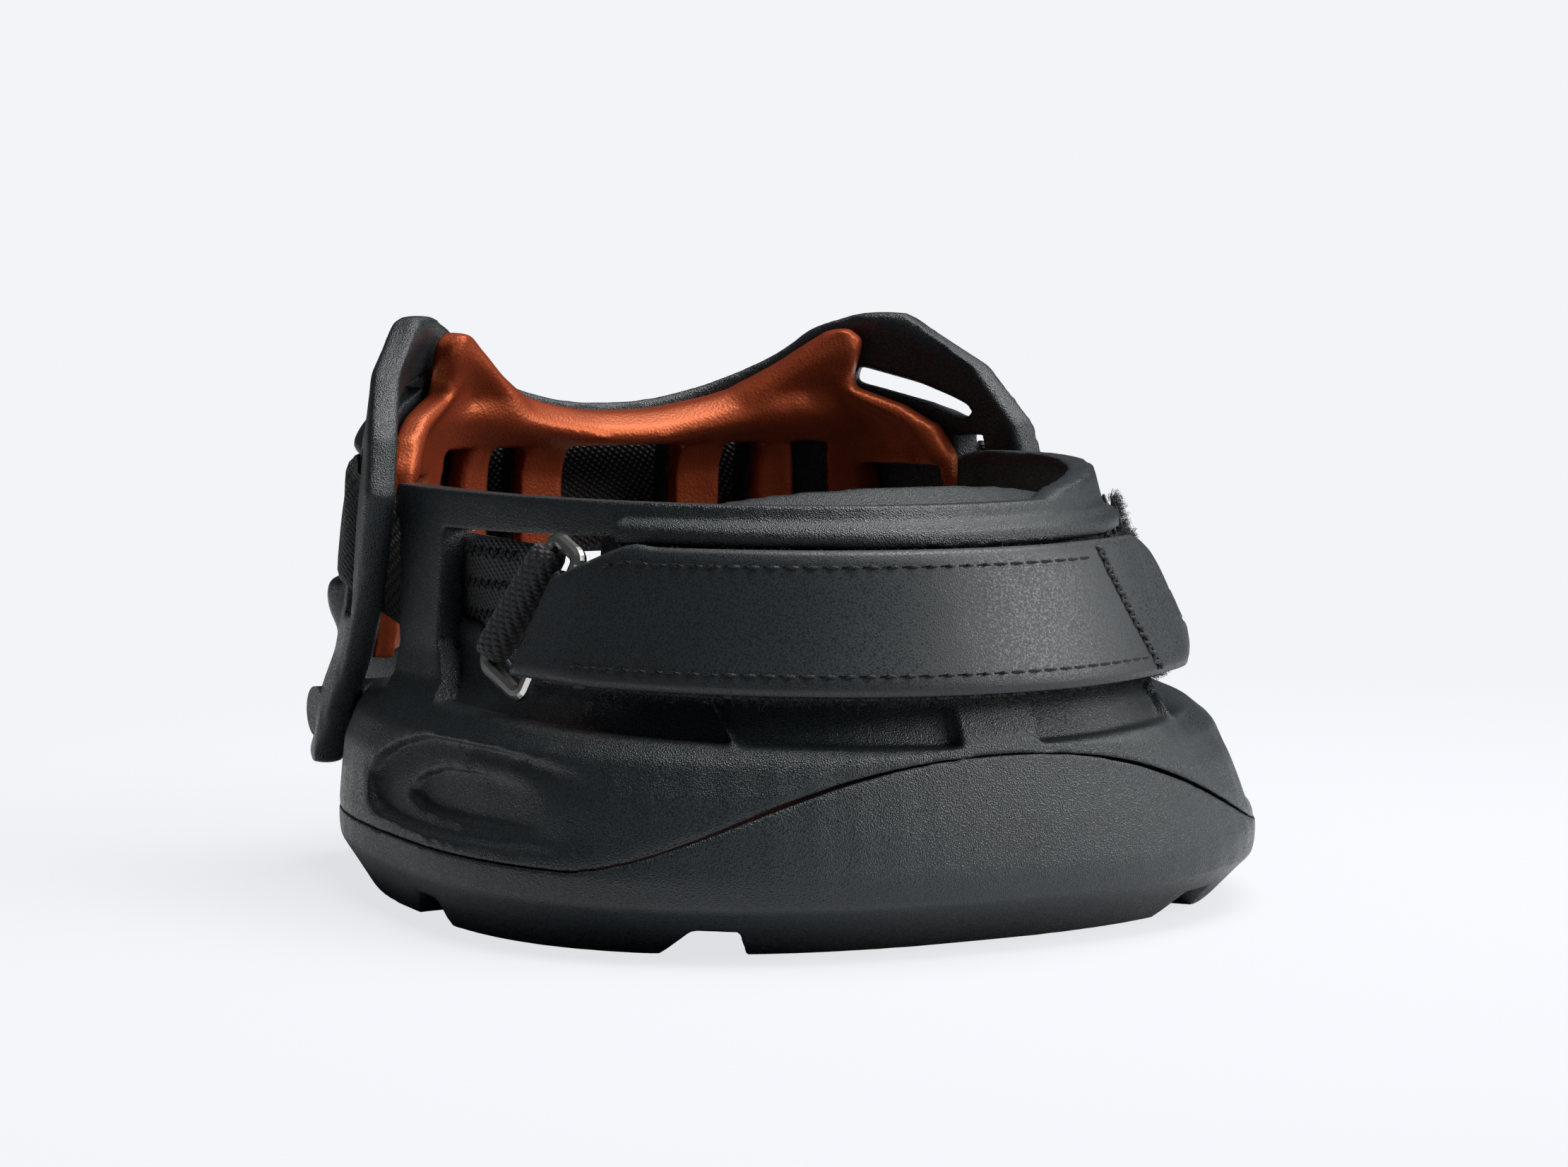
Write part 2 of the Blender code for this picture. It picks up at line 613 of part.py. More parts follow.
def scoop_cutter(name, table, side, depth, cutters):
    """A long shallow scoop that fades out towards the toe."""
    inner, outer = [], []
    for angle, low_share, high_share, depth_share in table:
        low, high = low_share * ARM_TOP, high_share * ARM_TOP
        bevel = SCOOP_BEVEL * max(depth_share, 0.0)
        inner.append([body_point(side * angle, height, -depth * depth_share)
                      for height in (low + bevel, (low + high) / 2, high - bevel)])
        outer.append([body_point(side * angle, height, OVERRUN)
                      for height in (low - SCOOP_BEVEL, (low + high) / 2, high + SCOOP_BEVEL)])
    return slab(name, inner, outer, cutters)


def make_upper(parts, cutters, look):
    """The moulded upper: lower wall, quarter uprights, arms, toe panel with its rib, and the lip."""
    angles = [FULL_TURN * index / COLUMNS for index in range(COLUMNS)]
    bottom = RIM_TOP + 2 * SEAM_GAP
    shares = [row[0] for row in BODY_SHARES[1:-2]]
    loops = []
    for angle in angles:
        turn = angle if angle <= HALF_TURN else angle - FULL_TURN
        top = arm_top(turn)
        heights = [bottom] + [share * ARM_TOP for share in shares] + [top]
        outer = [body_point(angle, height) for height in heights]
        inner_heights = [heights[0]] + heights[2:5:2] + heights[6:8] + [top]
        inner = [body_point(angle, height, -body_wall(height)) for height in inner_heights]
        loops.append(outer + inner[::-1])
    shell = loft("upper_shell", loops, True, parts)

    seam = [(-RIM_HALF_WIDTH - OVERRUN, -OVERRUN)]
    steps = 28
    for step in range(steps + 1):
        x = -SEAM_HALF_WIDTH + 2 * SEAM_HALF_WIDTH * step / steps
        seam.append((x, seam_height(x) + SEAM_GAP))
    seam.append((RIM_HALF_WIDTH + OVERRUN, -OVERRUN))
    ends = [[Vector((x, y, z)) for x, z in seam] for y in (-RIM_TOE_REACH - OVERRUN, -SEAM_REACH_BACK)]
    boolean(shell, loft("seam_cutter", ends, False, cutters), "DIFFERENCE")

    rear = RIM_HEEL_REACH + OVERRUN
    ceiling = ARM_TOP + ARM_RISE + OVERRUN
    profile = [(UPRIGHT_REAR, ceiling), (UPRIGHT_REAR, ARM_TOP - ARM_DEPTH),
               (UPRIGHT_REAR - ARM_NOTCH, ARM_TOP - ARM_DEPTH), (UPRIGHT_FOOT_REAR, QUARTER_TOP),
               (HEEL_WALL_START, QUARTER_TOP),
               (RIM_HEEL_REACH - WALL, HEEL_WALL_TOP), (rear, HEEL_WALL_TOP), (rear, ceiling)]
    boolean(shell, profile_prism("rear_cutter", profile, RIM_HALF_WIDTH + OVERRUN, cutters), "DIFFERENCE")

    rib_low = angle_of_x(RIB_WIDTH / 2, RECESS_CORNERS[1][4] * ARM_TOP)
    rib_high = angle_of_x(RIB_WIDTH / 2, RECESS_CORNERS[1][2] * ARM_TOP)
    recess = (RECESS_CORNERS[0], ("front", rib_high, RECESS_CORNERS[1][2], rib_low, RECESS_CORNERS[1][4]))
    for side in (-1, 1):
        name = "left" if side < 0 else "right"
        for cutter in (wall_cutter(f"window_{name}", WINDOW_CORNERS, side, -OVERRUN, OVERRUN, cutters),
                       wall_cutter(f"recess_{name}", recess, side, -RECESS_DEPTH, OVERRUN, cutters),
                       scoop_cutter(f"scoop_{name}", SCOOP_SHARES, side, SCOOP_DEPTH, cutters),
                       scoop_cutter(f"inner_scoop_{name}", INNER_SCOOP_SHARES, side,
                                    SCOOP_DEPTH + SCOOP_STEP, cutters)):
            boolean(shell, cutter, "DIFFERENCE")
    boolean(shell, make_lip(cutters), "UNION")
    for side in (-1, 1):
        add_boss(shell, side, cutters)
    apply_modifiers(shell)
    finish(shell, look)
    return shell


def rear_angle(place, height, face=cap_point):
    """The angle at which a face behind the quarters lies at a given place along the boot."""
    return angle_of_y(place, height, face, REAR_FROM, HALF_TURN)


def pivot_face():
    """How far out the cap's face lies at the pivot."""
    return cap_point(rear_angle(PIVOT_Y, PIVOT_Z), PIVOT_Z).x


def add_boss(shell, side, cutters):
    """The ear on the upper that takes a pivot pin, and the pin's hole in it."""
    name = "left" if side < 0 else "right"
    face = pivot_face() - CAP_WALL - BOSS_GAP - PIN_SEAT
    ear = cylinder(f"boss_{name}", BOSS_RADIUS, (side * BOSS_ROOT, PIVOT_Y, PIVOT_Z),
                   (side * face, PIVOT_Y, PIVOT_Z), cutters, 28)
    near, far = sorted((side * BOSS_ROOT, side * BOSS_FOOT_REACH))
    low = (near, PIVOT_Y - BOSS_RADIUS * BOSS_FOOT_FRONT_SHARE, BOSS_FOOT)
    high = (far, PIVOT_Y + BOSS_RADIUS * BOSS_FOOT_BACK_SHARE, PIVOT_Z)
    boolean(ear, box(f"boss_foot_{name}", low, high, cutters), "UNION")
    apply_modifiers(ear)
    boolean(shell, ear, "UNION")
    hole = cylinder(f"boss_hole_{name}", PIN_RADIUS + PIN_SLACK,
                    (side * (face - PIN_GRIP), PIVOT_Y, PIVOT_Z),
                    (side * (face + OVERRUN), PIVOT_Y, PIVOT_Z), cutters)
    boolean(shell, hole, "DIFFERENCE")


def make_lip(cutters):
    """The thick collar over the toe: a crescent whose top face rises towards the hoof."""
    loops = []
    for index in range(LIP_COLUMNS + 1):
        across = -1 + 2 * index / LIP_COLUMNS
        angle = LIP_HALF_ANGLE * across
        fullness = max(1 - abs(across) ** 2.6, 0.0)
        depth = LIP_END_DEPTH + (LIP_DEPTH - LIP_END_DEPTH) * fullness
        rise = LIP_RISE * fullness
        proud = LIP_PROUD
        low = LIP_TOP - LIP_THICKNESS
        loops.append([
            body_point(angle, low, proud * 0.7),
            body_point(angle, low + LIP_THICKNESS * 0.15, proud),
            body_point(angle, LIP_TOP - LIP_THICKNESS * 0.15, proud),
            body_point(angle, LIP_TOP, proud * 0.6),
            body_point(angle, LIP_TOP + rise * 0.5, -depth * 0.5),
            body_point(angle, LIP_TOP + rise, -depth),
            body_point(angle, LIP_TOP + rise - LIP_THICKNESS * 0.6, -depth - LIP_PROUD * 0.2),
            body_point(angle, low, -WALL * 0.5),
        ])
    return loft("lip_joiner", loops, False, cutters)


def cap_way(way, height):
    """The cap's angle at a share of the way round from the heel to its front edge."""
    front = curve_share(CAP_FRONT_SHARES, height / CAP_TOP) * CAP_HEEL_REACH
    reach = HALF_TURN - rear_angle(front, height)
    return HALF_TURN - way * reach


def cap_wall(angle, height):
    """Thickness of the cap: thinner towards its top edge, full in the bars and round the ears."""
    front = curve_share(CAP_FRONT_SHARES, height / CAP_TOP) * CAP_HEEL_REACH
    reach = HALF_TURN - rear_angle(front, height)
    way = min((HALF_TURN - abs(angle)) / reach, 1.0)
    below = (cap_edges(way)[1] - height) / CAP_THIN_DEPTH
    thin = (1 - min(max(below, 0.0), 1.0)) * blend_table(CAP_THIN_SHARES, way)[0]
    return CAP_WALL * (1 - thin)


def cap_edges(way):
    """Lower and upper edge of the cap at a share of the way round."""
    share = abs(way)
    low = CAP_HEEL_FOOT - (CAP_HEEL_FOOT - CAP_FOOT) * blend_table(CAP_FALL_SHARES, share)[0]
    high = CAP_DIP + (CAP_TOP - CAP_DIP) * curve_share(CAP_RISE_SHARES, share)
    return low, high


def make_cap(parts, cutters, look):
    """The tilting heel cap: a thick frame with two ears, slots, windows and webbing guides."""
    outer, inner = [], []
    for row in range(CAP_ROWS + 1):
        lines = ([], [])
        for column in range(CAP_COLUMNS + 1):
            way = -1 + 2 * column / CAP_COLUMNS
            low, high = cap_edges(abs(way))
            height = low + (high - low) * row / CAP_ROWS
            angle = cap_way(way, height)
            lines[0].append(cap_point(angle, height))
            lines[1].append(cap_point(angle, height, -cap_wall(HALF_TURN - abs(HALF_TURN - angle), height)))
        outer.append(lines[0])
        inner.append(lines[1])
    cap = slab("heel_cap_shell", inner, outer, parts)
    round_edges(cap, CAP_EDGE_ROUND)
    web_low, web_high = WEB_MIDDLE - WEB_WIDTH / 2, WEB_MIDDLE + WEB_WIDTH / 2
    for side in (-1, 1):
        name = "left" if side < 0 else "right"
        near = side * CAP_HALF_WIDTH * CUT_FROM_SHARE
        inner_x, outer_x = sorted((near, side * (CAP_HALF_WIDTH + OVERRUN)))
        loops = [[ear_slot_point(side, along, up, offset) for along, up in EAR_SLOT_SHARES]
                 for offset in (-CAP_WALL * 2, CAP_WALL)]
        low = (inner_x, WEB_SLOT_FRONT, web_low - WEB_THICKNESS - WEB_SLOT_DROP)
        high = (outer_x, WEB_SLOT_REAR, web_high + WEB_THICKNESS)
        axis = [(side * out, PIVOT_Y, PIVOT_Z)
                for out in (CAP_HALF_WIDTH * CUT_FROM_SHARE, BOSS_ROOT, pivot_face() - CAP_WALL - PIN_SEAT,
                            pivot_face() - PIN_SEAT, CAP_HALF_WIDTH + OVERRUN)]
        for cutter in (loft(f"ear_slot_{name}", loops, False, cutters),
                       box(f"web_slot_{name}", low, high, cutters),
                       cylinder(f"pin_bore_{name}", PIN_RADIUS + PIN_SLACK, axis[0], axis[4], cutters),
                       cylinder(f"boss_seat_{name}", BOSS_RADIUS + BOSS_GAP, axis[1], axis[2], cutters, 28),
                       cylinder(f"pin_seat_{name}", PIN_HEAD_RADIUS + PIN_SLACK, axis[3], axis[4],
                                cutters, 28)):
            boolean(cap, cutter, "DIFFERENCE")
    for name, low, high, turn in window_boxes():
        boolean(cap, box(f"cap_{name}_cutter", low, high, cutters, turn), "DIFFERENCE")
    for side in (-1, 1):
        for index, place in enumerate(guide_places(web_low, web_high)):
            boolean(cap, guide(f"guide_{index}_{side}", side, *place, cutters), "UNION")
    apply_modifiers(cap)
    finish(cap, look)
    return cap


def ear_slot_point(side, along, up, offset):
    """A corner of the ear slot's outline, on the cap's face or beyond it."""
    place = EAR_SLOT_MIDDLE_Y - along * EAR_SLOT_LENGTH
    height = EAR_SLOT_MIDDLE_Z - along * EAR_SLOT_RISE + up * EAR_SLOT_HEIGHT
    angle = rear_angle(place, height)
    return cap_point(side * angle, height, offset)


def guide(name, side, start, end, near, far, proud, cutters):
    """A rounded rail beside the webbing: thick at the webbing's edge, fading into the cap."""
    inner, outer = [], []
    for up, out in GUIDE_SHARES:
        height = near + (far - near) * up
        lines = ([], [])
        for step in range(GUIDE_STEPS + 1):
            share = step / GUIDE_STEPS
            fade = min(1.0, 0.35 + 4.0 * min(share, 1 - share))
            angle = cap_way(side * (start + (end - start) * share), height)
            lines[0].append(cap_point(angle, height, -GUIDE_SINK))
            lines[1].append(cap_point(angle, height, proud * out * fade))
        inner.append(lines[0])
        outer.append(lines[1])
    if (far - near) * side < 0:
        inner, outer = inner[::-1], outer[::-1]
    return slab(name, inner, outer, cutters)


def guide_places(web_low, web_high):
    """Raised webbing guides: start and end of the way round, near and far height, how proud."""
    above, below = web_high + WEB_GAP * 2, web_low - WEB_GAP * 2
    return ((GUIDE_START, GUIDE_END, above, web_high + GUIDE_HEIGHT, GUIDE_PROUD),
            (GUIDE_START, GUIDE_END, below, web_low - LOWER_GUIDE_HEIGHT, GUIDE_PROUD + GUIDE_STEP))


def window_boxes():
    """Windows that pass through the lining and the cap: name, low and high corner, turn."""
    inner = CAP_HEEL_REACH * CUT_FROM_SHARE
    outer = CAP_HEEL_REACH + OVERRUN
    half = MIDDLE_WINDOW_WIDTH / 2
    slot = SIDE_SLOT_WIDTH / 2
    found = [("middle_window", (-half, inner, WINDOW_BOTTOM), (half, outer, WINDOW_TOP), 0.0)]
    for side in (-1, 1):
        middle = side * SIDE_SLOT_PLACE
        found.append((f"side_slot_{side}", (middle - slot, inner, WINDOW_BOTTOM),
                      (middle + slot, outer, WINDOW_TOP), 0.0))
    return found


def make_lining(parts, cutters, look):
    """The soft heel lining: a moulded pad with a thick rolled lip and vertical slots."""
    count = CAP_COLUMNS
    loops = []
    for column in range(count + 1):
        way = -1 + 2 * column / count
        high = curve_share(LINING_RISE_SHARES, abs(way)) * CAP_TOP - LINING_DROP
        outer, inner = [], []
        for up in LINING_UP_SHARES:
            height = LINING_FOOT + (high - LINING_FOOT) * up
            angle = lining_angle(way, height)
            wall = cap_wall(HALF_TURN - abs(HALF_TURN - angle), height)
            face = -wall - LINING_GAP * blend_table(LINING_ROOM_SHARES, height / CAP_TOP)[0]
            roll = blend_table(ROLL_SHARES, up)[0] * (1 - ROLL_FADE * abs(way) ** 3)
            rim = blend_table(FRONT_RIM_SHARES, abs(way))[0] * min(1.0, up / 0.6)
            bulge = LINING_ROLL * max(roll, rim)
            outer.append(cap_point(angle, height, face))
            inner.append(cap_point(angle, height - bulge * 0.25 * up, face - LINING_THICKNESS - bulge))
        loops.append(outer + inner[::-1])
    lining = loft("heel_lining", loops, False, parts)
    for name, low, high, turn in window_boxes():
        boolean(lining, box(f"lining_{name}_cutter", low, high, cutters, turn), "DIFFERENCE")
    for side in (-1, 1):
        middle = -CAP_WALL - LINING_GAP - LINING_THICKNESS / 2
        spot = cap_point(HALF_TURN - OUTER_SLOT_TURN, WINDOW_TOP, middle)
        place = Vector((side * spot.x, spot.y, 0.0))
        half = Vector((OUTER_SLOT_WIDTH / 2, CAP_WALL * 2, 0.0))
        low = place - half + Vector((0.0, 0.0, OUTER_SLOT_BOTTOM))
        high = place + half + Vector((0.0, 0.0, OUTER_SLOT_TOP))
        slot = box(f"outer_slot_{side}", low, high, cutters, -side * OUTER_SLOT_ANGLE)
        boolean(lining, slot, "DIFFERENCE")
        near = side * CAP_HALF_WIDTH * CUT_FROM_SHARE
        inner_x, outer_x = sorted((near, side * (CAP_HALF_WIDTH + OVERRUN)))
        low = (inner_x, FRONT_WINDOW_PLACE - FRONT_WINDOW_LENGTH / 2, WINDOW_BOTTOM)
        high = (outer_x, FRONT_WINDOW_PLACE + FRONT_WINDOW_LENGTH / 2, FRONT_WINDOW_TOP)
        boolean(lining, box(f"front_window_{side}", low, high, cutters), "DIFFERENCE")
    apply_modifiers(lining)
    finish(lining, look, CLOTH_SMOOTH)
    return lining


def lining_angle(way, height):
    """The lining's angle: its front edge stands behind the uprights, and further back at its ears."""
    edge = blend_table(LINING_FRONT_SHARES, height / CAP_TOP)[0] * CAP_HEEL_REACH
    reach = HALF_TURN - rear_angle(edge, height)
    return HALF_TURN - way * reach


def thread(points, steps):
    """A smooth run of points through the given ones."""
    found = []
    for index in range(len(points) - 1):
        before = points[max(index - 1, 0)]
        start, end = points[index], points[index + 1]
        after = points[min(index + 2, len(points) - 1)]
        for step in range(steps):
            share = step / steps
            square, cube = share ** 2, share ** 3
            found.append(0.5 * (2 * start + (end - before) * share
                                + (2 * before - 5 * start + 4 * end - after) * square
                                + (3 * start - before - 3 * end + after) * cube))
    found.append(points[-1])
    return found


def strip(name, stations, thickness, group):
    """A band of fabric: each station is a line of points across it, on its middle surface."""
    rows = [list(row) for row in zip(*stations)]
    made = sheet(name, rows, group)
    solid = made.modifiers.new("cloth", "SOLIDIFY")
    solid.thickness = thickness
    solid.offset = 0.0
    made.modifiers.new("flat", "TRIANGULATE")
    apply_modifiers(made)
    return made


def across(low, high, count=4):
    return [low + (high - low) * index / count for index in range(count + 1)]


def ring_frame():
    """The ring's middle, and the directions along it, towards the toe, and away from the hoof."""
    (top_angle, top_z, top_out), (low_angle, low_z, low_out) = RING_PLACES
    top = body_point(top_angle, top_z, top_out * RING_PROUD)
    low = body_point(low_angle, low_z, low_out * RING_PROUD)
    middle = (top + low) / 2
    along = (top - low).normalized()
    between = (top_angle + low_angle) / 2
    tangent = body_point(between + 1.0, middle.z) - body_point(between, middle.z)
    toward = (tangent - along * tangent.dot(along)).normalized()
    outward = toward.cross(along)
    if outward.x > 0:
        outward = -outward
    return middle, along, toward, outward


def ring_bar(ahead):
    """Middle and direction of a long bar: the two bars stand closer together at the top."""
    middle, along, toward, _ = ring_frame()
    top = middle + along * RING_LENGTH / 2 + toward * ahead * RING_TOP_SPACING / 2
    low = middle - along * RING_LENGTH / 2 + toward * ahead * RING_LOW_SPACING / 2
    return (top + low) / 2, (top - low).normalized()


def make_ring(parts, look):
    """The metal ring that the strap turns back through."""
    middle, along, toward, _ = ring_frame()
    half_long = RING_LENGTH / 2 - RING_CORNER
    corner_steps = 5
    points = []
    for quarter, (up, ahead) in enumerate(((1, 1), (1, -1), (-1, -1), (-1, 1))):
        half_wide = (RING_TOP_SPACING if up > 0 else RING_LOW_SPACING) / 2 - RING_CORNER
        for step in range(corner_steps + 1):
            turn = math.radians(90 * step / corner_steps)
            first, second = math.sin(turn), math.cos(turn)
            if quarter % 2:
                first, second = second, first
            points.append(middle + along * up * (half_long + RING_CORNER * first)
                          + toward * ahead * (half_wide + RING_CORNER * second))
    curve = bpy.data.curves.new("ring_path", "CURVE")
    curve.dimensions = "3D"
    curve.bevel_depth = RING_WIRE / 2
    curve.bevel_resolution = 3
    spline = curve.splines.new("POLY")
    spline.points.add(len(points) - 1)
    for spot, point in zip(spline.points, points):
        spot.co = (*point, 1.0)
    spline.use_cyclic_u = True
    guide = bpy.data.objects.new("ring_guide", curve)
    parts.objects.link(guide)
    graph = bpy.context.evaluated_depsgraph_get()
    graph.update()
    builder = bmesh.new()
    builder.from_mesh(bpy.data.meshes.new_from_object(guide.evaluated_get(graph)))
    bpy.data.objects.remove(guide, do_unlink=True)
    ring = new_object("ring", mesh_from("ring", builder), parts)
    finish(ring, look)
    return ring


def bar_turn(ahead, radius, start, end, width, steps=8):
    """Stations round one long bar of the ring, from the hoof side outwards and back."""
    _, _, toward, outward = ring_frame()
    centre, along = ring_bar(ahead)
    toward = (toward - along * toward.dot(along)).normalized()
    stations = []
    for step in range(steps + 1):
        turn = math.radians(start + (end - start) * step / steps)
        spot = centre + outward * radius * math.cos(turn) - toward * ahead * radius * math.sin(turn)
        stations.append(across(spot - along * width / 2, spot + along * width / 2))
    return stations


def make_heel_run(parts, look):
    """Webbing round the outside of the cap, between its guides."""
    low = WEB_MIDDLE - WEB_WIDTH / 2
    heights = [low + WEB_WIDTH * up / 4 for up in range(5)]
    limits = [HALF_TURN - rear_angle(WEB_SPLIT, height, web_face) for height in heights]
    stations = []
    count = 36
    for index in range(count + 1):
        way = 1 - 2 * index / count
        stations.append([web_face(HALF_TURN + limit * way, height)
                         for limit, height in zip(limits, heights)])
    run = strip("webbing_heel_run", stations, WEB_THICKNESS, parts)
    finish(run, look, CLOTH_SMOOTH)
    return run


def web_face(angle, height):
    """Middle surface of the webbing where it lies on the cap."""
    return cap_point(angle, height, WEB_LAY + WEB_THICKNESS / 2)


def web_path(side):
    """Lower and upper edges of the webbing from the cap to the window."""
    half = Vector((0.0, 0.0, WEB_WIDTH / 2))
    pairs = []
    for y in (WEB_SPLIT - WEB_GAP, WEB_SPLIT - WEB_THICKNESS):
        pair = []
        for height in (WEB_MIDDLE - half.z, WEB_MIDDLE + half.z):
            pair.append(web_face(side * rear_angle(y, height, web_face), height))
        pairs.append(tuple(pair))
    for out, back, down in WEB_SHARES:
        spot = Vector((side * out * RIM_HALF_WIDTH, back * RIM_HEEL_REACH,
                       WEB_MIDDLE + (WEB_RUN_MIDDLE - WEB_MIDDLE) * down))
        pairs.append((spot - half, spot + half))
    return pairs


def threaded(pairs, steps=3):
    lows = thread([low for low, _ in pairs], steps)
    highs = thread([high for _, high in pairs], steps)
    return [across(low, high) for low, high in zip(lows, highs)]


def make_left_run(parts, look):
    """Webbing from the cap to the ring, turned round the ring's rear bar and sewn down."""
    radius = RING_WIRE / 2 + WEB_GAP + WEB_THICKNESS / 2
    turn = bar_turn(-1, radius, 180, -25, WEB_WIDTH)
    path = web_path(-1)
    path.append((turn[0][0], turn[0][-1]))
    stations = threaded(path)[:-1] + turn
    shift = (turn[-1][2] - turn[0][2])
    back = []
    for station in (stations[-len(turn) - 2], stations[-len(turn) - 3]):
        back.append([point + shift.normalized() * (WEB_THICKNESS + WEB_GAP) * 1.3 for point in station])
    stations += back
    run = strip("webbing_left_run", stations, WEB_THICKNESS, parts)
    finish(run, look, CLOTH_SMOOTH)
    return run


def make_right_run(parts, look):
    """Webbing from the cap through the far window to the back of the strap."""
    path = web_path(1)
    out = BAND_GAP - WEB_GAP * 3 - WEB_THICKNESS
    low, high = WEB_RUN_MIDDLE - WEB_WIDTH / 2, WEB_RUN_MIDDLE + WEB_WIDTH / 2
    for angle in RIGHT_RUN_ANGLES:
        path.append((body_point(angle, low, out), body_point(angle, high, out)))
    run = strip("webbing_right_run", threaded(path), WEB_THICKNESS, parts)
    finish(run, look, CLOTH_SMOOTH)
    return run


def strap_line(angle, low, high, offset, count=4):
    """A line across the strap: it leans back at the sides like the band of a cone."""
    lean = STRAP_LEAN_SHARE * angle * abs(angle) / LEAN_ANGLE
    return [body_point(angle - lean * (up / count - 0.5), low + (high - low) * up / count, offset)
            for up in range(count + 1)]


def layer(name, start, end, low_inset, high_inset, offset, thickness, count, group):
    """A layer of the strap that hugs the toe, with the raised corner at its far end."""
    low, high = STRAP_LOW - BAND_DROP + low_inset, STRAP_HIGH - BAND_DROP - high_inset
    stations = []
    for index in range(count + 1):
        angle = start + (end - start) * index / count
        rise = blend_table(((-90.0, 0.0), *BAND_END_SHARES), angle)[0] * BAND_CORNER_RISE
        stations.append(strap_line(angle, low + rise * 0.5, high + rise, offset + thickness / 2))
    return strip(name, stations, thickness, group)


def make_band(parts, look, pile):
    """The strap's lower layer, and the loop face on it."""
    band = layer("strap_band", BAND_START, BAND_END, 0.0, 0.0, BAND_GAP, BAND_THICKNESS, 46, parts)
    finish(band, look, CLOTH_SMOOTH)
    loop_offset = BAND_GAP + BAND_THICKNESS + LAYER_GAP
    face = layer("band_loop_face", LOOP_START, LOOP_END, LOOP_INSET, LOOP_INSET, loop_offset,
                 LOOP_THICKNESS, 46, parts)
    finish(face, pile, CLOTH_SMOOTH)
    hook_offset = loop_offset + LOOP_THICKNESS + LAYER_GAP
    pad = layer("flap_hook_pad", HOOK_START, HOOK_END, HOOK_INSET, HOOK_INSET * 2, hook_offset,
                HOOK_THICKNESS, 12, parts)
    finish(pad, pile, CLOTH_SMOOTH)


def make_flap(parts, look):
    """The outer layer of the strap: turned round the ring's front bar and back over the toe."""
    radius = RING_WIRE / 2 + WEB_GAP * 1.6 + FLAP_THICKNESS / 2
    stations = bar_turn(1, radius, 185, 10, FLAP_RING_WIDTH, 10)
    base = (BAND_GAP + BAND_THICKNESS + LOOP_THICKNESS + HOOK_THICKNESS + 3 * LAYER_GAP
            + FLAP_THICKNESS / 2)
    width = STRAP_HIGH - STRAP_LOW
    angles = [FLAP_START + FLAP_STEP * index for index in range(FLAP_COUNT)]
    angles += [row[0] for row in FLAP_END_SHARES]
    for angle in angles:
        low, high = blend_table(((-90.0, 0.0, 1.0), *FLAP_END_SHARES), angle)
        lift = blend_table(FLAP_LIFT_SHARES, angle)[0] * FLAP_LIFT
        stations.append(strap_line(angle, STRAP_LOW + low * width, STRAP_LOW + high * width, base + lift))
    flap = strip("strap_flap", stations, FLAP_THICKNESS, parts)
    finish(flap, look, CLOTH_SMOOTH)
    return flap


def make_studs(parts, look):
    """The small rivets that hold the lining in the cap."""
    for side in (-1, 1):
        name = "left" if side < 0 else "right"
        angle = HALF_TURN - STUD_ANGLE
        face = CAP_WALL + LINING_GAP + LINING_THICKNESS + STUD_GAP
        base = cap_point(side * angle, STUD_Z, -face)
        inward = (cap_point(side * angle, STUD_Z, -face * 2) - base).normalized()
        stud = cylinder(f"lining_stud_{name}", STUD_RADIUS, base, base + inward * STUD_HEIGHT, parts, 20)
        edge = stud.modifiers.new("edge", "BEVEL")
        edge.width = STUD_HEIGHT * 0.35
        edge.segments = 2
        edge.limit_method = "ANGLE"
        apply_modifiers(stud)
        finish(stud, look)


def make_pins(parts, cutters, look):
    """Pins that the heel cap tilts on."""
    pins = []
    for side in (-1, 1):
        name = "left" if side < 0 else "right"
        seat = pivot_face() - PIN_SEAT + PIN_SLACK
        inner = pivot_face() - CAP_WALL - BOSS_GAP - PIN_SEAT - PIN_GRIP + PIN_SLACK
        pin = cylinder(f"pivot_pin_{name}", PIN_RADIUS, (side * inner, PIVOT_Y, PIVOT_Z),
                       (side * (seat + PIN_HEAD_HEIGHT / 2), PIVOT_Y, PIVOT_Z), parts)
        head = cylinder(f"pin_head_{name}", PIN_HEAD_RADIUS, (side * seat, PIVOT_Y, PIVOT_Z),
                        (side * (seat + PIN_HEAD_HEIGHT), PIVOT_Y, PIVOT_Z), cutters, 28)
        boolean(pin, head, "UNION")
        apply_modifiers(pin)
        finish(pin, look)
        pins.append(pin)
    return pins


def main():
    clear_scene()
    parts = bpy.data.collections.new("hoof_boot")
    cutters = bpy.data.collections.new("cutters")
    bpy.context.scene.collection.children.link(parts)
    bpy.context.scene.collection.children.link(cutters)
    cutters.hide_render = True
    black = material("black_polymer", (0.018, 0.019, 0.021), 0.55)
    tread = material("tread_polymer", (0.015, 0.016, 0.018), 0.62)
    copper = material("copper_foam", (0.36, 0.085, 0.025), 0.38)
    make_outsole(parts, cutters, tread)
    make_upper(parts, cutters, black)
    make_cap(parts, cutters, black)
    make_lining(parts, cutters, copper)
    fabric = material("black_webbing", (0.02, 0.02, 0.022), 0.9)
    coated = material("coated_fabric", (0.03, 0.031, 0.034), 0.5)
    nickel = material("satin_nickel", (0.62, 0.60, 0.57), 0.28, 1.0)
    make_heel_run(parts, fabric)
    make_left_run(parts, fabric)
    make_right_run(parts, fabric)
    make_ring(parts, nickel)
    pile = material("hook_and_loop_pile", (0.012, 0.012, 0.013), 1.0)
    make_band(parts, fabric, pile)
    make_flap(parts, coated)
    make_pins(parts, cutters, nickel)
    make_studs(parts, nickel)


main()
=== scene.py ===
"""Looks of the horse hoof boot: moulded skins, copper lining, webbing, stitched strap and stage."""
import json
import math
import random

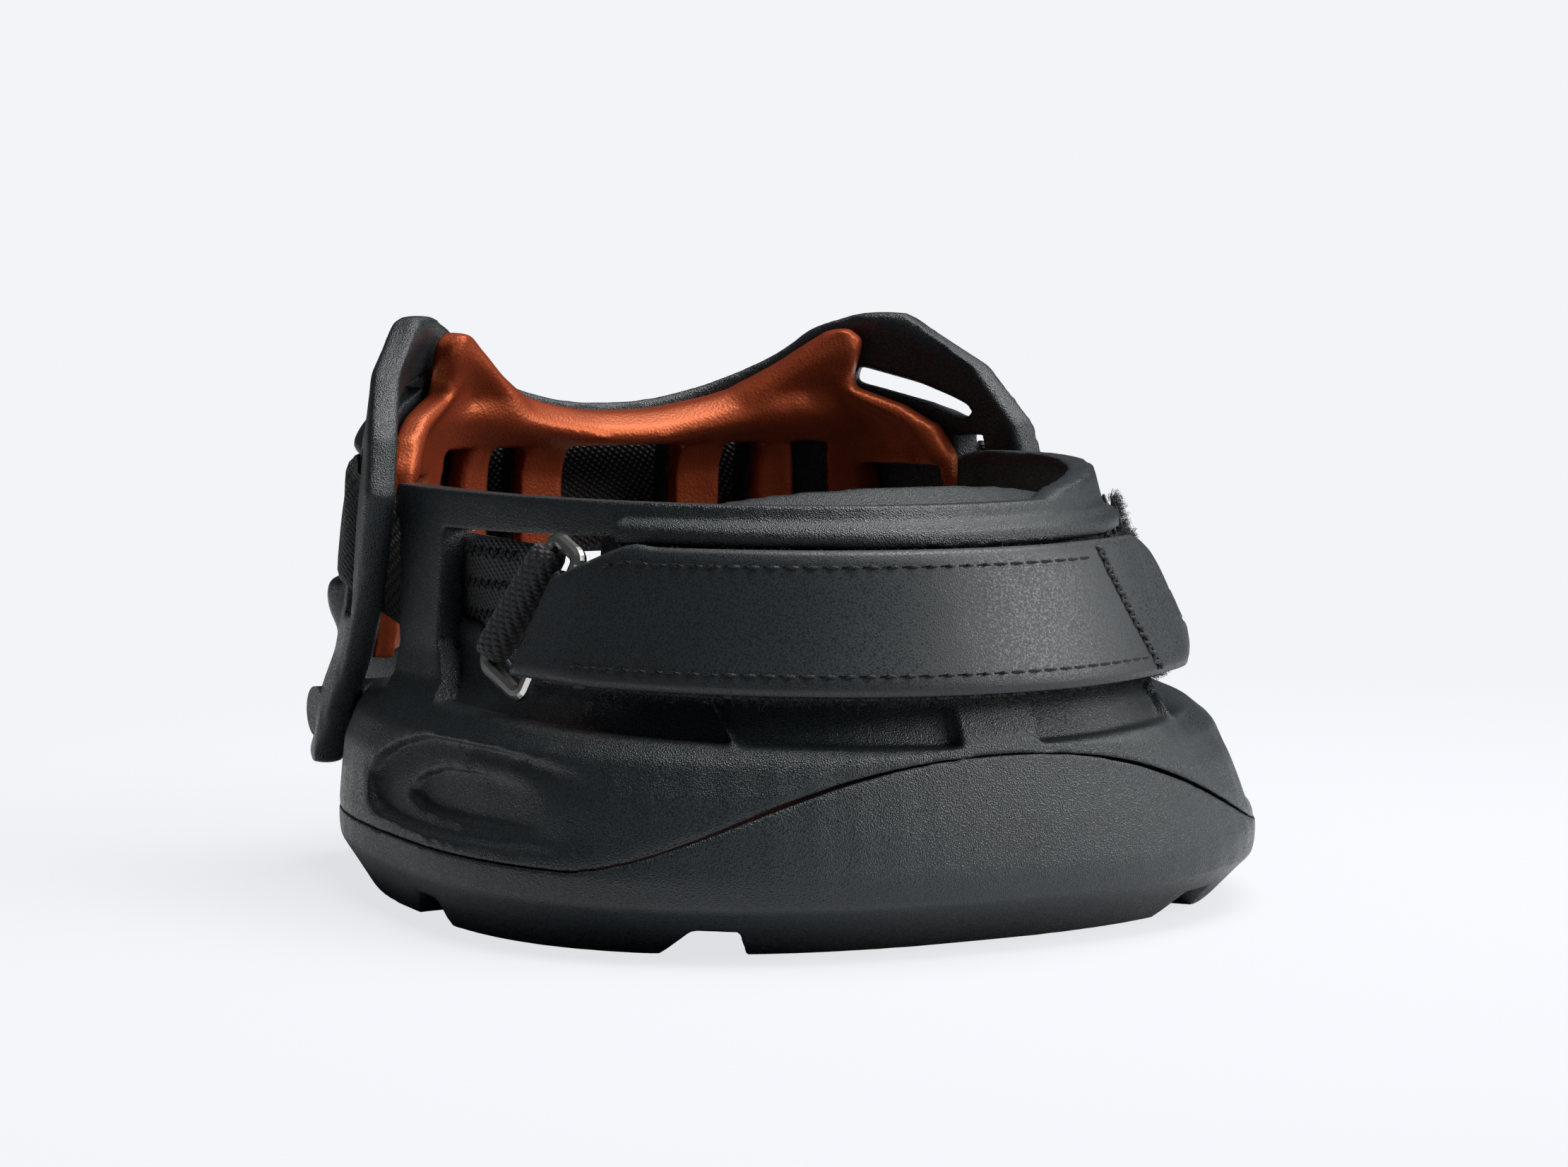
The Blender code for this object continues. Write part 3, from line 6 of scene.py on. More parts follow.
import bpy
import numpy as np
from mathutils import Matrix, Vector

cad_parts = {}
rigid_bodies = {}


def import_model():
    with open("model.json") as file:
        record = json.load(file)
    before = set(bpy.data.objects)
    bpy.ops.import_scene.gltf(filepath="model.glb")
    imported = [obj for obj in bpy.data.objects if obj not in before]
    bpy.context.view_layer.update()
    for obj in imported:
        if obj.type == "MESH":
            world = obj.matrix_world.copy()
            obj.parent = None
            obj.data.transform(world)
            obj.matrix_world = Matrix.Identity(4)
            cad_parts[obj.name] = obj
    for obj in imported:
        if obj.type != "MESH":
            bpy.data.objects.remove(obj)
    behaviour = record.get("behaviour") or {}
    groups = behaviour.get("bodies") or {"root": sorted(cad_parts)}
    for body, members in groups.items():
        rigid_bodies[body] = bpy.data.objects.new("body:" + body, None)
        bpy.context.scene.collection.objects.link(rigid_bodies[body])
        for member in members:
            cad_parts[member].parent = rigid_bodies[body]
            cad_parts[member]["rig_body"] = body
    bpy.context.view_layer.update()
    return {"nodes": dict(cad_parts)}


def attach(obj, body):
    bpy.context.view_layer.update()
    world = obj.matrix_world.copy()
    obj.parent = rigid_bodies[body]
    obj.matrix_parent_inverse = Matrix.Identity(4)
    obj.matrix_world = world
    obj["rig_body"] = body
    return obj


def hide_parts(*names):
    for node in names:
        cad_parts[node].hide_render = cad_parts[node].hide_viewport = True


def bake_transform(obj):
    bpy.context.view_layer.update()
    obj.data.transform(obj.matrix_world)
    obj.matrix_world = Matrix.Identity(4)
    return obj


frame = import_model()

bl_info = {
    "name": "Horse hoof boot",
    "version": (1, 0, 0),
    "blender": (4, 5, 0),
    "location": "View3D > Sidebar > Hoof Boot",
    "description": "Dresses the hoof boot: moulded shells, heel lining, webbing, strap and stage",
    "category": "Object",
}

# Sizes and outlines of the boot, in metres and shares, as the solids have them
RIM_HALF_WIDTH = 0.0815
RIM_TOE_REACH = 0.0855
RIM_HEEL_REACH = 0.0760
ARM_TOP = 0.0760
CAP_HALF_WIDTH = RIM_HALF_WIDTH * 0.9387
HEEL_OVERHANG = 0.0125
CAP_HEEL_REACH = RIM_HEEL_REACH + HEEL_OVERHANG
CAP_TOP = 0.1075
WEB_WIDTH = 0.0236
WEB_THICKNESS = 0.0018
WEB_GAP = 0.0003
WEB_LAY = 0.0005
WEB_MIDDLE = 0.0690
WEB_RUN_MIDDLE = 0.0563
WEB_SPLIT = CAP_HEEL_REACH * 0.5440
RING_WIRE = 0.0030
RING_LENGTH = 0.0276
RING_TOP_SPACING = 0.0080
RING_LOW_SPACING = 0.0122
RING_PROUD = 0.0021
STRAP_LOW = 0.0449
STRAP_HIGH = 0.0691
LAYER_GAP = 0.0004
BAND_GAP = 0.0006
BAND_THICKNESS = 0.0012
BAND_DROP = 0.0011
BAND_CORNER_RISE = 0.0062
LOW_EDGE_RISE = BAND_CORNER_RISE * 0.5
LOOP_THICKNESS = 0.0010
LOOP_INSET = 0.0005
HOOK_THICKNESS = 0.0008
HOOK_INSET = 0.0012
FLAP_THICKNESS = 0.0017
FLAP_LIFT = 0.0042
FLAP_RING_WIDTH = 0.0202
HALF_TURN = 180.0
REAR_FROM = 40.0
BODY_SHARES = (
    (0.188, 1.000, 1.000, 1.000, -0.10, 2.40, 3.0),
    (0.289, 0.982, 0.994, 0.993, -0.04, 2.35, 3.0),
    (0.368, 0.967, 0.982, 0.985, 0.00, 2.30, 3.0),
    (0.441, 0.933, 0.968, 0.970, 0.03, 2.25, 3.0),
    (0.487, 0.890, 0.950, 0.940, 0.08, 2.20, 3.0),
    (0.539, 0.847, 0.927, 0.900, 0.18, 2.15, 3.0),
    (0.605, 0.826, 0.901, 0.870, 0.25, 2.10, 3.0),
    (0.737, 0.813, 0.848, 0.850, 0.30, 2.10, 3.0),
    (0.921, 0.801, 0.784, 0.830, 0.34, 2.05, 3.0),
    (1.000, 0.793, 0.757, 0.820, 0.37, 2.05, 3.0),
    (1.060, 0.786, 0.735, 0.815, 0.38, 2.05, 3.0),
)
CAP_SHARES = (
    (0.190, 0.985, 0.995, 0.565, 2.6, 0.00),
    (0.307, 0.986, 1.000, 0.520, 2.7, 0.04),
    (0.372, 0.976, 1.000, 0.460, 2.8, 0.10),
    (0.460, 0.970, 1.000, 0.410, 3.0, 0.14),
    (0.558, 0.975, 1.000, 0.360, 3.0, 0.16),
    (0.660, 0.979, 0.998, 0.315, 3.0, 0.18),
    (0.748, 0.975, 0.990, 0.290, 2.9, 0.20),
    (0.842, 0.967, 0.958, 0.271, 2.8, 0.20),
    (0.921, 0.956, 0.915, 0.271, 2.8, 0.20),
    (1.000, 0.942, 0.875, 0.271, 2.8, 0.20),
)
CAP_TOE_SHARE = 0.70
RING_PLACES = ((-56.0, 0.0692, 1.15), (-70.4, 0.0425, 0.50))
WEB_SHARES = ((0.880, 0.580, 0.12), (0.838, 0.555, 0.36), (0.777, 0.535, 0.66), (0.724, 0.516, 0.92),
              (0.711, 0.478, 1.0), (0.711, 0.386, 1.0), (0.716, 0.236, 1.0), (0.727, 0.091, 1.0))
STRAP_LEAN_SHARE = 0.16
LEAN_ANGLE = 58.0
FLAP_LIFT_SHARES = ((-60.0, 0.0), (22.0, 0.0), (34.0, 0.25), (42.0, 0.62), (52.0, 1.0))
FLAP_END_SHARES = ((34.0, 0.0, 1.0), (36.0, 0.0, 0.985), (38.0, 0.0, 0.945), (39.5, 0.005, 0.89),
                   (41.0, 0.02, 0.80), (42.5, 0.05, 0.69), (44.0, 0.10, 0.56),
                   (45.2, 0.17, 0.43), (46.0, 0.25, 0.34))
BAND_END_SHARES = ((56.5, 0.0), (57.5, 0.55), (59.0, 0.95), (61.0, 1.0), (64.0, 0.8))
RIGHT_RUN_ANGLES = (66.0, 60.0, 55.0)
BAND_START = -54.0
BAND_END = 64.0
FLAP_START = -51.0
FLAP_STEP = 5.0
FLAP_COUNT = 17
LOOP_START = -52.0
LOOP_END = 63.5
HOOK_START = 14.0
HOOK_END = 40.0
HALVINGS = 30

# Stations along each band
HEEL_STATIONS = 36
BAND_STATIONS = 46
HOOK_STATIONS = 12

# Turns of the webbing and the flap round the ring's bars: start and end in degrees, and steps
WEB_TURN = (180, -25, 12)
FLAP_TURN = (185, 10, 10)
FLAP_TURN_GAP = WEB_GAP * 1.6

# Finer steps along and across the grid of each band
WEB_FINE = (4, 3)
LEFT_FINE = (5, 3)
BAND_FINE = (3, 3)
FLAP_FINE = (4, 4)
GUARD_FINE = (2, 2)

# Skins over the moulded solids. Each has its rounds of softening, the share of its faces that is
# kept, and the angle in degrees above which an edge stays
SHELL_SKIN = (2, 0.4, 15.0)
SOLE_SKIN = (2, 0.4, 9.0)
CAP_SKIN = (4, 0.5, 17.0)
LINING_SKIN = (6, 0.6, 17.0)
WELD_GAP = 0.00001
SKIN_SWELL = 0.00020
EVEN_ROUNDS = 45
MOVE_ROUNDS = 12
LEAST_AREA = 1e-14
LEAST_GAP = 1e-9
LINING_GRID = 0.9

# Roughness and grain of the moulded looks
SHELL_ROUGHNESS = 0.38
SOLE_ROUGHNESS = 0.40
STRAP_ROUGHNESS = 0.52
THREAD_ROUGHNESS = 0.6
SHELL_GRAIN = 0.38
STRAP_GRAIN = 0.12
THREAD_SHADE = 0.5
WEAVE_PITCH = 0.00125

# Soft edges of the bands: the power of their rounding, and the thickness left at edges and ends
BAND_ROUNDING = 6.0
FLAP_ROUNDING = 14.0
EDGE_SHARE = 0.25
END_SHARE = 0.4
END_ROWS = 2

# Seams: the flap's two straight rows and the zigzag column across its free end. Each arch gives
# the points of a stitch: the share of its length, and its height in lifts or None for below
STITCH_PITCH = 0.0034
STITCH_DIP = 0.0006
LOW_STITCHES = 0.14
HIGH_STITCHES = 0.86
STITCH_LIFT = 0.00008
STITCH_FIRST = (FLAP_TURN[2] + 1) * FLAP_FINE[0] - 1
FLAP_THREAD = 0.00028
STITCH_ARCH = ((0.0, None), (0.10, 0.8), (0.5, 1.3), (0.82, 0.8), (0.90, None))
COLUMN_ROWS = (103.0, 109.0)
COLUMN_SWING = 0.62
COLUMN_COUNT = 14
COLUMN_TOP = 0.93
COLUMN_SPAN = 0.88
COLUMN_STRAY = 0.08
COLUMN_THREAD = 0.00046
COLUMN_ARCH = ((0.0, -0.3), (0.15, 0.9), (0.5, 1.4), (0.85, 0.9), (1.0, -0.3))
COLUMN_SEED = 23

# Seam that holds the fold of the left webbing, counted in rows back from the ring
LEFT_SPLIT = 7
FOLD_SHARES = (0.14, 0.38, 0.62, 0.86)
FOLD_LIFT = 0.00025
FOLD_MARGIN = 3
FOLD_ROWS = 17
FOLD_PITCH = 0.0016
FOLD_SWING = 0.045
FOLD_THREAD = 0.00022

# Hairs of the loop pile
PILE_SEED = 7
HAIR_SEED = 11
BARE_SHARE = 0.78
FACE_HAIRS = 5200
EDGE_HAIRS = 2600
HAIR_LENGTH = 0.0016
HAIR_SPREAD = 0.45
HAIR_RADIUS = 0.00006
HAIR_ROOT = 0.0002
HAIR_CURL = 0.35
HAIR_TAPER = (1.0, 0.8, 0.4)

# Guard inside the wall, behind the front of the window: angle and upper edge
GUARD_OFFSET = -0.0052
GUARD_THICKNESS = 0.0016
GUARD_LOW = 0.0320
GUARD_HIGH = ((-90.0, 0.0525), (-79.0, 0.0520), (-74.5, 0.0470), (-71.0, 0.0434), (-57.5, 0.0436),
              (-54.5, 0.0730), (-33.0, 0.0730))
GUARD_COUNT = 40
GUARD_ACROSS = 8

# Stage: each lamp's name, place, size and power, then the floor and the camera
LAMPS = (("key", (1.30, -0.60, 0.62), 0.8, 9.0), ("sheen", (0.90, -0.98, 0.88), 0.7, 12.0),
         ("top", (0.40, -0.05, 1.35), 1.1, 29.0))
LAMP_AIM = (0, 0, 0.04)
SKY_COLOUR = (0.9, 0.94, 1.0, 1)
SKY_STRENGTH = 0.06
FLOOR_HALF = 6.0
FLOOR_SHADE = 0.76
FLOOR_ROUGHNESS = 0.9
GLOW_NEAR = 0.12
GLOW_FAR = 0.45
GLOW_LEAST = 0.82
CAMERA_LENS = 87.5
CAMERA_SENSOR = 36.0
CAMERA_CLIP = 0.01
CAMERA_PLACE = (-0.3293, -0.6449, 0.1205)
CAMERA_AIM = (0.4523, 0.8876, -0.0870)


class BootSizes(bpy.types.PropertyGroup):
    """Sizes that a user may change"""
    skin_grid: bpy.props.FloatProperty(
        name="Skin Grid", description="Size of the grid that rounds the moulded shells",
        default=0.00055, min=0.0003, max=0.004, unit="LENGTH")


class BootColours(bpy.types.PropertyGroup):
    """Colours that a user may change"""
    shell: bpy.props.FloatVectorProperty(
        name="Shell", description="Colour of the moulded shells", subtype="COLOR", size=3, min=0, max=1,
        default=(0.0105, 0.0148, 0.0172))
    lining: bpy.props.FloatVectorProperty(
        name="Lining", description="Colour of the heel lining", subtype="COLOR", size=3, min=0, max=1,
        default=(0.34, 0.056, 0.021))
    webbing: bpy.props.FloatVectorProperty(
        name="Webbing", description="Colour of the woven webbing", subtype="COLOR", size=3, min=0, max=1,
        default=(0.012, 0.012, 0.014))
    strap: bpy.props.FloatVectorProperty(
        name="Strap", description="Colour of the coated strap", subtype="COLOR", size=3, min=0, max=1,
        default=(0.0115, 0.0155, 0.0180))
    metal: bpy.props.FloatVectorProperty(
        name="Metal", description="Colour of the ring", subtype="COLOR", size=3, min=0, max=1,
        default=(0.62, 0.61, 0.58))
    floor: bpy.props.FloatVectorProperty(
        name="Floor", description="Colour of the floor and backdrop", subtype="COLOR", size=3, min=0, max=1,
        default=(0.888, 0.905, 0.939))


def blank_material(name, color, roughness, metallic=0.0):
    """A material with its shader, ready for more nodes."""
    look = bpy.data.materials.new(name)
    look.use_nodes = True
    shader = look.node_tree.nodes["Principled BSDF"]
    shader.inputs["Base Color"].default_value = (*color, 1.0)
    shader.inputs["Roughness"].default_value = roughness
    shader.inputs["Metallic"].default_value = metallic
    return look, look.node_tree, shader


def add_node(tree, kind, settings=None, **inputs):
    """A shader node with its settings, and its inputs set or linked by name."""
    made = tree.nodes.new(kind)
    for key, value in (settings or {}).items():
        setattr(made, key, value)
    for key, value in inputs.items():
        socket = made.inputs[key.replace("_", " ")]
        if isinstance(value, bpy.types.NodeSocket):
            tree.links.new(value, socket)
        else:
            socket.default_value = value
    return made


def spot_of(tree, socket="Object"):
    """The place on the surface, for a pattern."""
    return add_node(tree, "ShaderNodeTexCoord").outputs[socket]


def bumped(tree, shader, height, strength, depth, under=None):
    """Raises the shader's surface by a pattern, over another one where there is one."""
    bump = add_node(tree, "ShaderNodeBump", None, Height=height, Strength=strength, Distance=depth)
    if under:
        tree.links.new(under, bump.inputs["Normal"])
    tree.links.new(bump.outputs["Normal"], shader.inputs["Normal"])
    return bump.outputs["Normal"]


def tinted(tree, shader, color, pattern, low, high):
    """Makes the shader's colour darker and lighter by a pattern."""
    shade = add_node(tree, "ShaderNodeMapRange", None, Value=pattern, To_Min=low, To_Max=high)
    tint = add_node(tree, "ShaderNodeVectorMath", {"operation": "SCALE"}, Scale=shade.outputs["Result"])
    tint.inputs[0].default_value = color
    tree.links.new(tint.outputs["Vector"], shader.inputs["Base Color"])


def moulded_look(name, color, roughness, rise=SHELL_GRAIN):
    """Moulded rubber with a fine sparkling grain and a soft unevenness."""
    look, tree, shader = blank_material(name, color, roughness)
    place = spot_of(tree)
    grain = add_node(tree, "ShaderNodeTexVoronoi", {"feature": "F1"}, Vector=place, Scale=3600.0)
    cloud = add_node(tree, "ShaderNodeTexNoise", None, Vector=place, Scale=60.0, Detail=4.0)
    speck = add_node(tree, "ShaderNodeTexNoise", None, Vector=place, Scale=2600.0, Detail=2.0)
    fine = bumped(tree, shader, grain.outputs["Distance"], rise, 0.0004)
    bumped(tree, shader, cloud.outputs["Fac"], 0.10, 0.002, fine)
    sparkle = add_node(tree, "ShaderNodeMapRange", None, Value=speck.outputs["Fac"], From_Min=0.42,
                       From_Max=0.70, To_Min=roughness + 0.08, To_Max=roughness - 0.24)
    tree.links.new(sparkle.outputs["Result"], shader.inputs["Roughness"])
    tinted(tree, shader, color, cloud.outputs["Fac"], 0.75, 1.25)
    return look


def lining_look(color):
    """Pearly copper foam rubber with fine glitter, and painted shade that darkens its colour where it turns
    away from the viewer.
    """
    look, tree, shader = blank_material("copper_lining", color, 0.42, 0.40)
    shader.inputs["Specular IOR Level"].default_value = 0.85
    shader.inputs["Specular Tint"].default_value = (1.0, 0.60, 0.24, 1.0)
    speck = add_node(tree, "ShaderNodeTexVoronoi", {"feature": "F1"}, Vector=spot_of(tree), Scale=1700.0)
    bumped(tree, shader, speck.outputs["Distance"], 0.18, 0.0004)
    # Painted shade: a darker copy of the copper is mixed in by facing, so the colour darkens towards
    # grazing angles
    weight = add_node(tree, "ShaderNodeLayerWeight", None, Blend=0.35)
    mix = add_node(tree, "ShaderNodeMix", {"data_type": "RGBA"}, Factor=weight.outputs["Facing"])
    mix.inputs["A"].default_value = (*color, 1)
    mix.inputs["B"].default_value = (color[0] * 0.45, color[1] * 0.30, color[2] * 0.35, 1)
    tree.links.new(mix.outputs["Result"], shader.inputs["Base Color"])
    return look


def rib_pattern(tree, place, turn, scale):
    """Ribs that run at an angle to the band."""
    turned = add_node(tree, "ShaderNodeMapping", None, Vector=place)
    turned.inputs["Rotation"].default_value = (0, 0, math.radians(turn))
    rib = add_node(tree, "ShaderNodeTexWave", {"wave_type": "BANDS", "bands_direction": "X"},
                   Vector=turned.outputs["Vector"], Scale=scale)
    return rib.outputs["Fac"]


def woven_look(name, color, pitch):
    """Twill webbing: slanting ribs across the band's own length and width, with painted shade in their
    grooves and painted light on their ridges.
    """
    look, tree, shader = blank_material(name, color, 0.62)
    place = spot_of(tree, "UV")
    both = add_node(tree, "ShaderNodeMath", {"operation": "MULTIPLY"})
    tree.links.new(rib_pattern(tree, place, 32, 0.314 / pitch), both.inputs[0])
    tree.links.new(rib_pattern(tree, place, -58, 0.314 / (pitch * 0.8)), both.inputs[1])
    bumped(tree, shader, both.outputs["Value"], 0.9, 0.0005)
    # Painted light and shade: the colour follows the ribs' height, darker in the grooves and lighter on the
    # ridges
    tinted(tree, shader, color, both.outputs["Value"], 0.3, 1.5)
    shader.inputs["Sheen Weight"].default_value = 0.06
    return look


def pile_look(name, color):
    """Fuzzy loop pile: a tangle of fine dark yarn."""
    look, tree, shader = blank_material(name, color, 0.85)
    tangle = add_node(tree, "ShaderNodeTexNoise", None, Vector=spot_of(tree), Scale=1500.0, Detail=5.0,
                      Distortion=1.5)
    bumped(tree, shader, tangle.outputs["Fac"], 0.9, 0.0006)
    shader.inputs["Sheen Weight"].default_value = 0.12
    shader.inputs["Sheen Roughness"].default_value = 0.5
    return look


def metal_look(color):
    """Satin metal with a faint unevenness."""
    look, tree, shader = blank_material("satin_nickel", color, 0.22, 1.0)
    noise = add_node(tree, "ShaderNodeTexNoise", None, Vector=spot_of(tree), Scale=500.0, Detail=2.0)
    bumped(tree, shader, noise.outputs["Fac"], 0.05, 0.0002)
    return look


def link_object(name, mesh, look):
    """An object of this mesh, in the scene and with one look."""
    made = bpy.data.objects.new(name, mesh)
    bpy.context.scene.collection.objects.link(made)
    mesh.materials.clear()
    mesh.materials.append(look)
    return made


def apply_all(made):
    """Turns an object's modifiers into its mesh."""
    bpy.context.view_layer.update()
    graph = bpy.context.evaluated_depsgraph_get()
    mesh = bpy.data.meshes.new_from_object(made.evaluated_get(graph))
    made.modifiers.clear()
    made.data = mesh


def recoloured(nodes, look):
    """Gives the solids of these nodes a look of their own."""
    for node in nodes:
        frame["nodes"][node].data.materials.clear()
        frame["nodes"][node].data.materials.append(look)


def dress(made, body, slot_name, *nodes):
    """Hides the nodes that a piece stands for, and puts it on its body."""
    if nodes:
        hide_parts(*nodes)
    if body:
        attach(made, body)


def even_facets(mesh, rounds, keep_angle):
    """Evens out the flat facets of a dense skin, while edges sharper than keep_angle stay."""
    mesh.calc_loop_triangles()
    corners = np.empty(len(mesh.loop_triangles) * 3, dtype=np.int64)
    mesh.loop_triangles.foreach_get("vertices", corners)
    corners = corners.reshape(-1, 3)
    spots = np.empty(len(mesh.vertices) * 3)
    mesh.vertices.foreach_get("co", spots)
    spots = spots.reshape(-1, 3)
    edges = np.sort(np.concatenate([corners[:, [0, 1]], corners[:, [1, 2]], corners[:, [2, 0]]]), axis=1)
    owner = np.tile(np.arange(len(corners)), 3)
    keys = edges[:, 0] * len(spots) + edges[:, 1]
    order = np.argsort(keys, kind="stable")
    keys, owner = keys[order], owner[order]
    same = np.nonzero(keys[1:] == keys[:-1])[0]
    one, other = owner[same], owner[same + 1]
    first = spots[corners[:, 0]]
    cross = np.cross(spots[corners[:, 1]] - first, spots[corners[:, 2]] - first)
    area = np.linalg.norm(cross, axis=1) + LEAST_AREA
    facing = cross / area[:, None]
    spread = 2 * (2 * math.sin(math.radians(keep_angle) / 2)) ** 2
    for _ in range(rounds):
        gap = ((facing[one] - facing[other]) ** 2).sum(axis=1)
        weight = np.exp(-gap / spread)
        total = facing * area[:, None]
        for axis in range(3):
            total[:, axis] += np.bincount(one, weight * area[other] * facing[other, axis], len(corners))
            total[:, axis] += np.bincount(other, weight * area[one] * facing[one, axis], len(corners))
        facing = total / (np.linalg.norm(total, axis=1) + LEAST_AREA)[:, None]
    touching = np.bincount(corners.ravel(), minlength=len(spots)).astype(float)
    for _ in range(MOVE_ROUNDS):
        middle = spots[corners].mean(axis=1)
        shift = np.zeros_like(spots)
        for corner in range(3):
            place = corners[:, corner]
            way = facing * ((middle - spots[place]) * facing).sum(axis=1)[:, None]
            for axis in range(3):
                shift[:, axis] += np.bincount(place, way[:, axis], len(spots))
        spots = spots + shift / np.maximum(touching, 1)[:, None]
    mesh.vertices.foreach_set("co", spots.ravel())
    mesh.update()


def skin(node, name, grid, look, slot_name, rounds, keep, keep_angle):
    """A rounded skin over a moulded CAD node: same shape, with soft edges."""
    source = frame["nodes"][node]
    made = link_object(name, source.data.copy(), look)
    weld = made.modifiers.new("weld", "WELD")
    weld.merge_threshold = WELD_GAP
    remesh = made.modifiers.new("grid", "REMESH")
    remesh.mode = "VOXEL"
    remesh.voxel_size = grid
    remesh.adaptivity = 0.0
    soft = made.modifiers.new("soft", "SMOOTH")
    soft.factor = 0.5
    soft.iterations = rounds
    fuller = made.modifiers.new("fuller", "DISPLACE")
    fuller.strength = SKIN_SWELL
    fuller.mid_level = 0.0
    apply_all(made)
    even_facets(made.data, EVEN_ROUNDS, keep_angle)
    fewer = made.modifiers.new("fewer", "DECIMATE")
    fewer.ratio = keep
    apply_all(made)
    made.data.materials.clear()
    made.data.materials.append(look)
    made.data.shade_smooth()
    dress(made, source["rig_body"], slot_name, node)
    return made


def blend_table(table, place):
    """The row of a table at this place, by straight lines between its rows."""
    if place <= table[0][0]:
        return list(table[0][1:])
    for low, high in zip(table, table[1:]):
        if place <= high[0]:
            share = (place - low[0]) / (high[0] - low[0])
            return [a + (b - a) * share for a, b in zip(low[1:], high[1:])]
    return list(table[-1][1:])


def outline_point(section, angle, height, offset):
    """A point of a hoof-shaped outline: angle 0 at the toe, positive towards +X."""
    half_width, toe, heel, widest, front_power, rear_power = section
    side, ahead = math.sin(math.radians(angle)), math.cos(math.radians(angle))
    power = front_power if ahead > 0 else rear_power
    reach = widest + toe + offset if ahead > 0 else heel + offset - widest
    radius = (abs(side) ** power + abs(ahead) ** power) ** (-1 / power)
    return Vector(((half_width + offset) * side * radius, widest - reach * ahead * radius, height))


def body_section(height):
    """The outline of the moulded body at a height."""
    row = blend_table(BODY_SHARES, height / ARM_TOP)
    return (row[0] * RIM_HALF_WIDTH, row[1] * RIM_TOE_REACH, row[2] * RIM_HEEL_REACH,
            row[3] * RIM_HALF_WIDTH, row[4], row[5])


def body_point(angle, height, offset=0.0):
    """A point of the body's outer face."""
    return outline_point(body_section(height), angle, height, offset)


def cap_point(angle, height, offset=0.0):
    """A point of the heel cap's outer face: angle 180 at the heel."""
    row = blend_table(CAP_SHARES, height / CAP_TOP)
    widest = row[2] * CAP_HEEL_REACH
    section = (row[0] * CAP_HALF_WIDTH, CAP_TOE_SHARE * CAP_HEEL_REACH, row[1] * CAP_HEEL_REACH,
               widest, row[3], row[3])
    point = outline_point(section, angle, height, offset)
    back = (point.y - widest) / (row[1] * CAP_HEEL_REACH - widest)
    point.x *= 1 - row[4] * max(back, 0.0)
    return point


def angle_of_y(place, height, point_of, start, end):
    """The angle between start and end at which an outline passes this Y."""
    for _ in range(HALVINGS):
        middle = (start + end) / 2
        if point_of(middle, height).y < place:
            start = middle
        else:
            end = middle
    return (start + end) / 2


def rear_angle(place, height, face):
    """The angle at which a face behind the quarters lies at a given place along the boot."""
    return angle_of_y(place, height, face, REAR_FROM, HALF_TURN)


def thread(points, steps):
    """A smooth run of points through the given ones."""
    found = []
    for index in range(len(points) - 1):
        before = points[max(index - 1, 0)]
        start, end = points[index], points[index + 1]
        after = points[min(index + 2, len(points) - 1)]
        for step in range(steps):
            share = step / steps
            square, cube = share ** 2, share ** 3
            found.append(0.5 * (2 * start + (end - before) * share
                                + (2 * before - 5 * start + 4 * end - after) * square
                                + (3 * start - before - 3 * end + after) * cube))
    found.append(points[-1])
    return found


def ring_frame():
    """The ring's middle, and the directions along it, towards the toe, and away from the hoof."""
    (top_angle, top_z, top_out), (low_angle, low_z, low_out) = RING_PLACES
    top = body_point(top_angle, top_z, top_out * RING_PROUD)
    low = body_point(low_angle, low_z, low_out * RING_PROUD)
    middle = (top + low) / 2
    along = (top - low).normalized()
    between = (top_angle + low_angle) / 2
    tangent = body_point(between + 1.0, middle.z) - body_point(between, middle.z)
    toward = (tangent - along * tangent.dot(along)).normalized()
    outward = toward.cross(along)
    if outward.x > 0:
        outward = -outward
    return middle, along, toward, outward


def ring_bar(ahead):
    """Middle and direction of a long bar: the two bars stand closer together at the top."""
    middle, along, toward, _ = ring_frame()
    top = middle + along * RING_LENGTH / 2 + toward * ahead * RING_TOP_SPACING / 2
    low = middle - along * RING_LENGTH / 2 + toward * ahead * RING_LOW_SPACING / 2
    return (top + low) / 2, (top - low).normalized()


def across(low, high, count=4):
    """Points from the lower to the upper edge."""
    return [low + (high - low) * index / count for index in range(count + 1)]


def bar_turn(ahead, radius, start, end, steps, width):
    """Stations round one long bar of the ring, from the hoof side outwards and back."""
    _, _, toward, outward = ring_frame()
    centre, along = ring_bar(ahead)
    toward = (toward - along * toward.dot(along)).normalized()
    stations = []
    for step in range(steps + 1):
        turn = math.radians(start + (end - start) * step / steps)
        spot = centre + outward * radius * math.cos(turn) - toward * ahead * radius * math.sin(turn)
        stations.append(across(spot - along * width / 2, spot + along * width / 2))
    return stations


def web_face(angle, height):
    """Middle surface of the webbing where it lies on the cap."""
    return cap_point(angle, height, WEB_LAY + WEB_THICKNESS / 2)


def web_path(side):
    """Lower and upper edges of the webbing from the cap to the window."""
    half = Vector((0.0, 0.0, WEB_WIDTH / 2))
    pairs = []
    for y in (WEB_SPLIT - WEB_GAP, WEB_SPLIT - WEB_THICKNESS):
        pair = []
        for height in (WEB_MIDDLE - half.z, WEB_MIDDLE + half.z):
            pair.append(web_face(side * rear_angle(y, height, web_face), height))
        pairs.append(tuple(pair))
    for out, back, down in WEB_SHARES:
        spot = Vector((side * out * RIM_HALF_WIDTH, back * RIM_HEEL_REACH,
                       WEB_MIDDLE + (WEB_RUN_MIDDLE - WEB_MIDDLE) * down))
        pairs.append((spot - half, spot + half))
    return pairs


def threaded(pairs, steps=3):
    """A smooth grid through pairs of lower and upper edge points."""
    lows = thread([low for low, _ in pairs], steps)
    highs = thread([high for _, high in pairs], steps)
    return [across(low, high) for low, high in zip(lows, highs)]


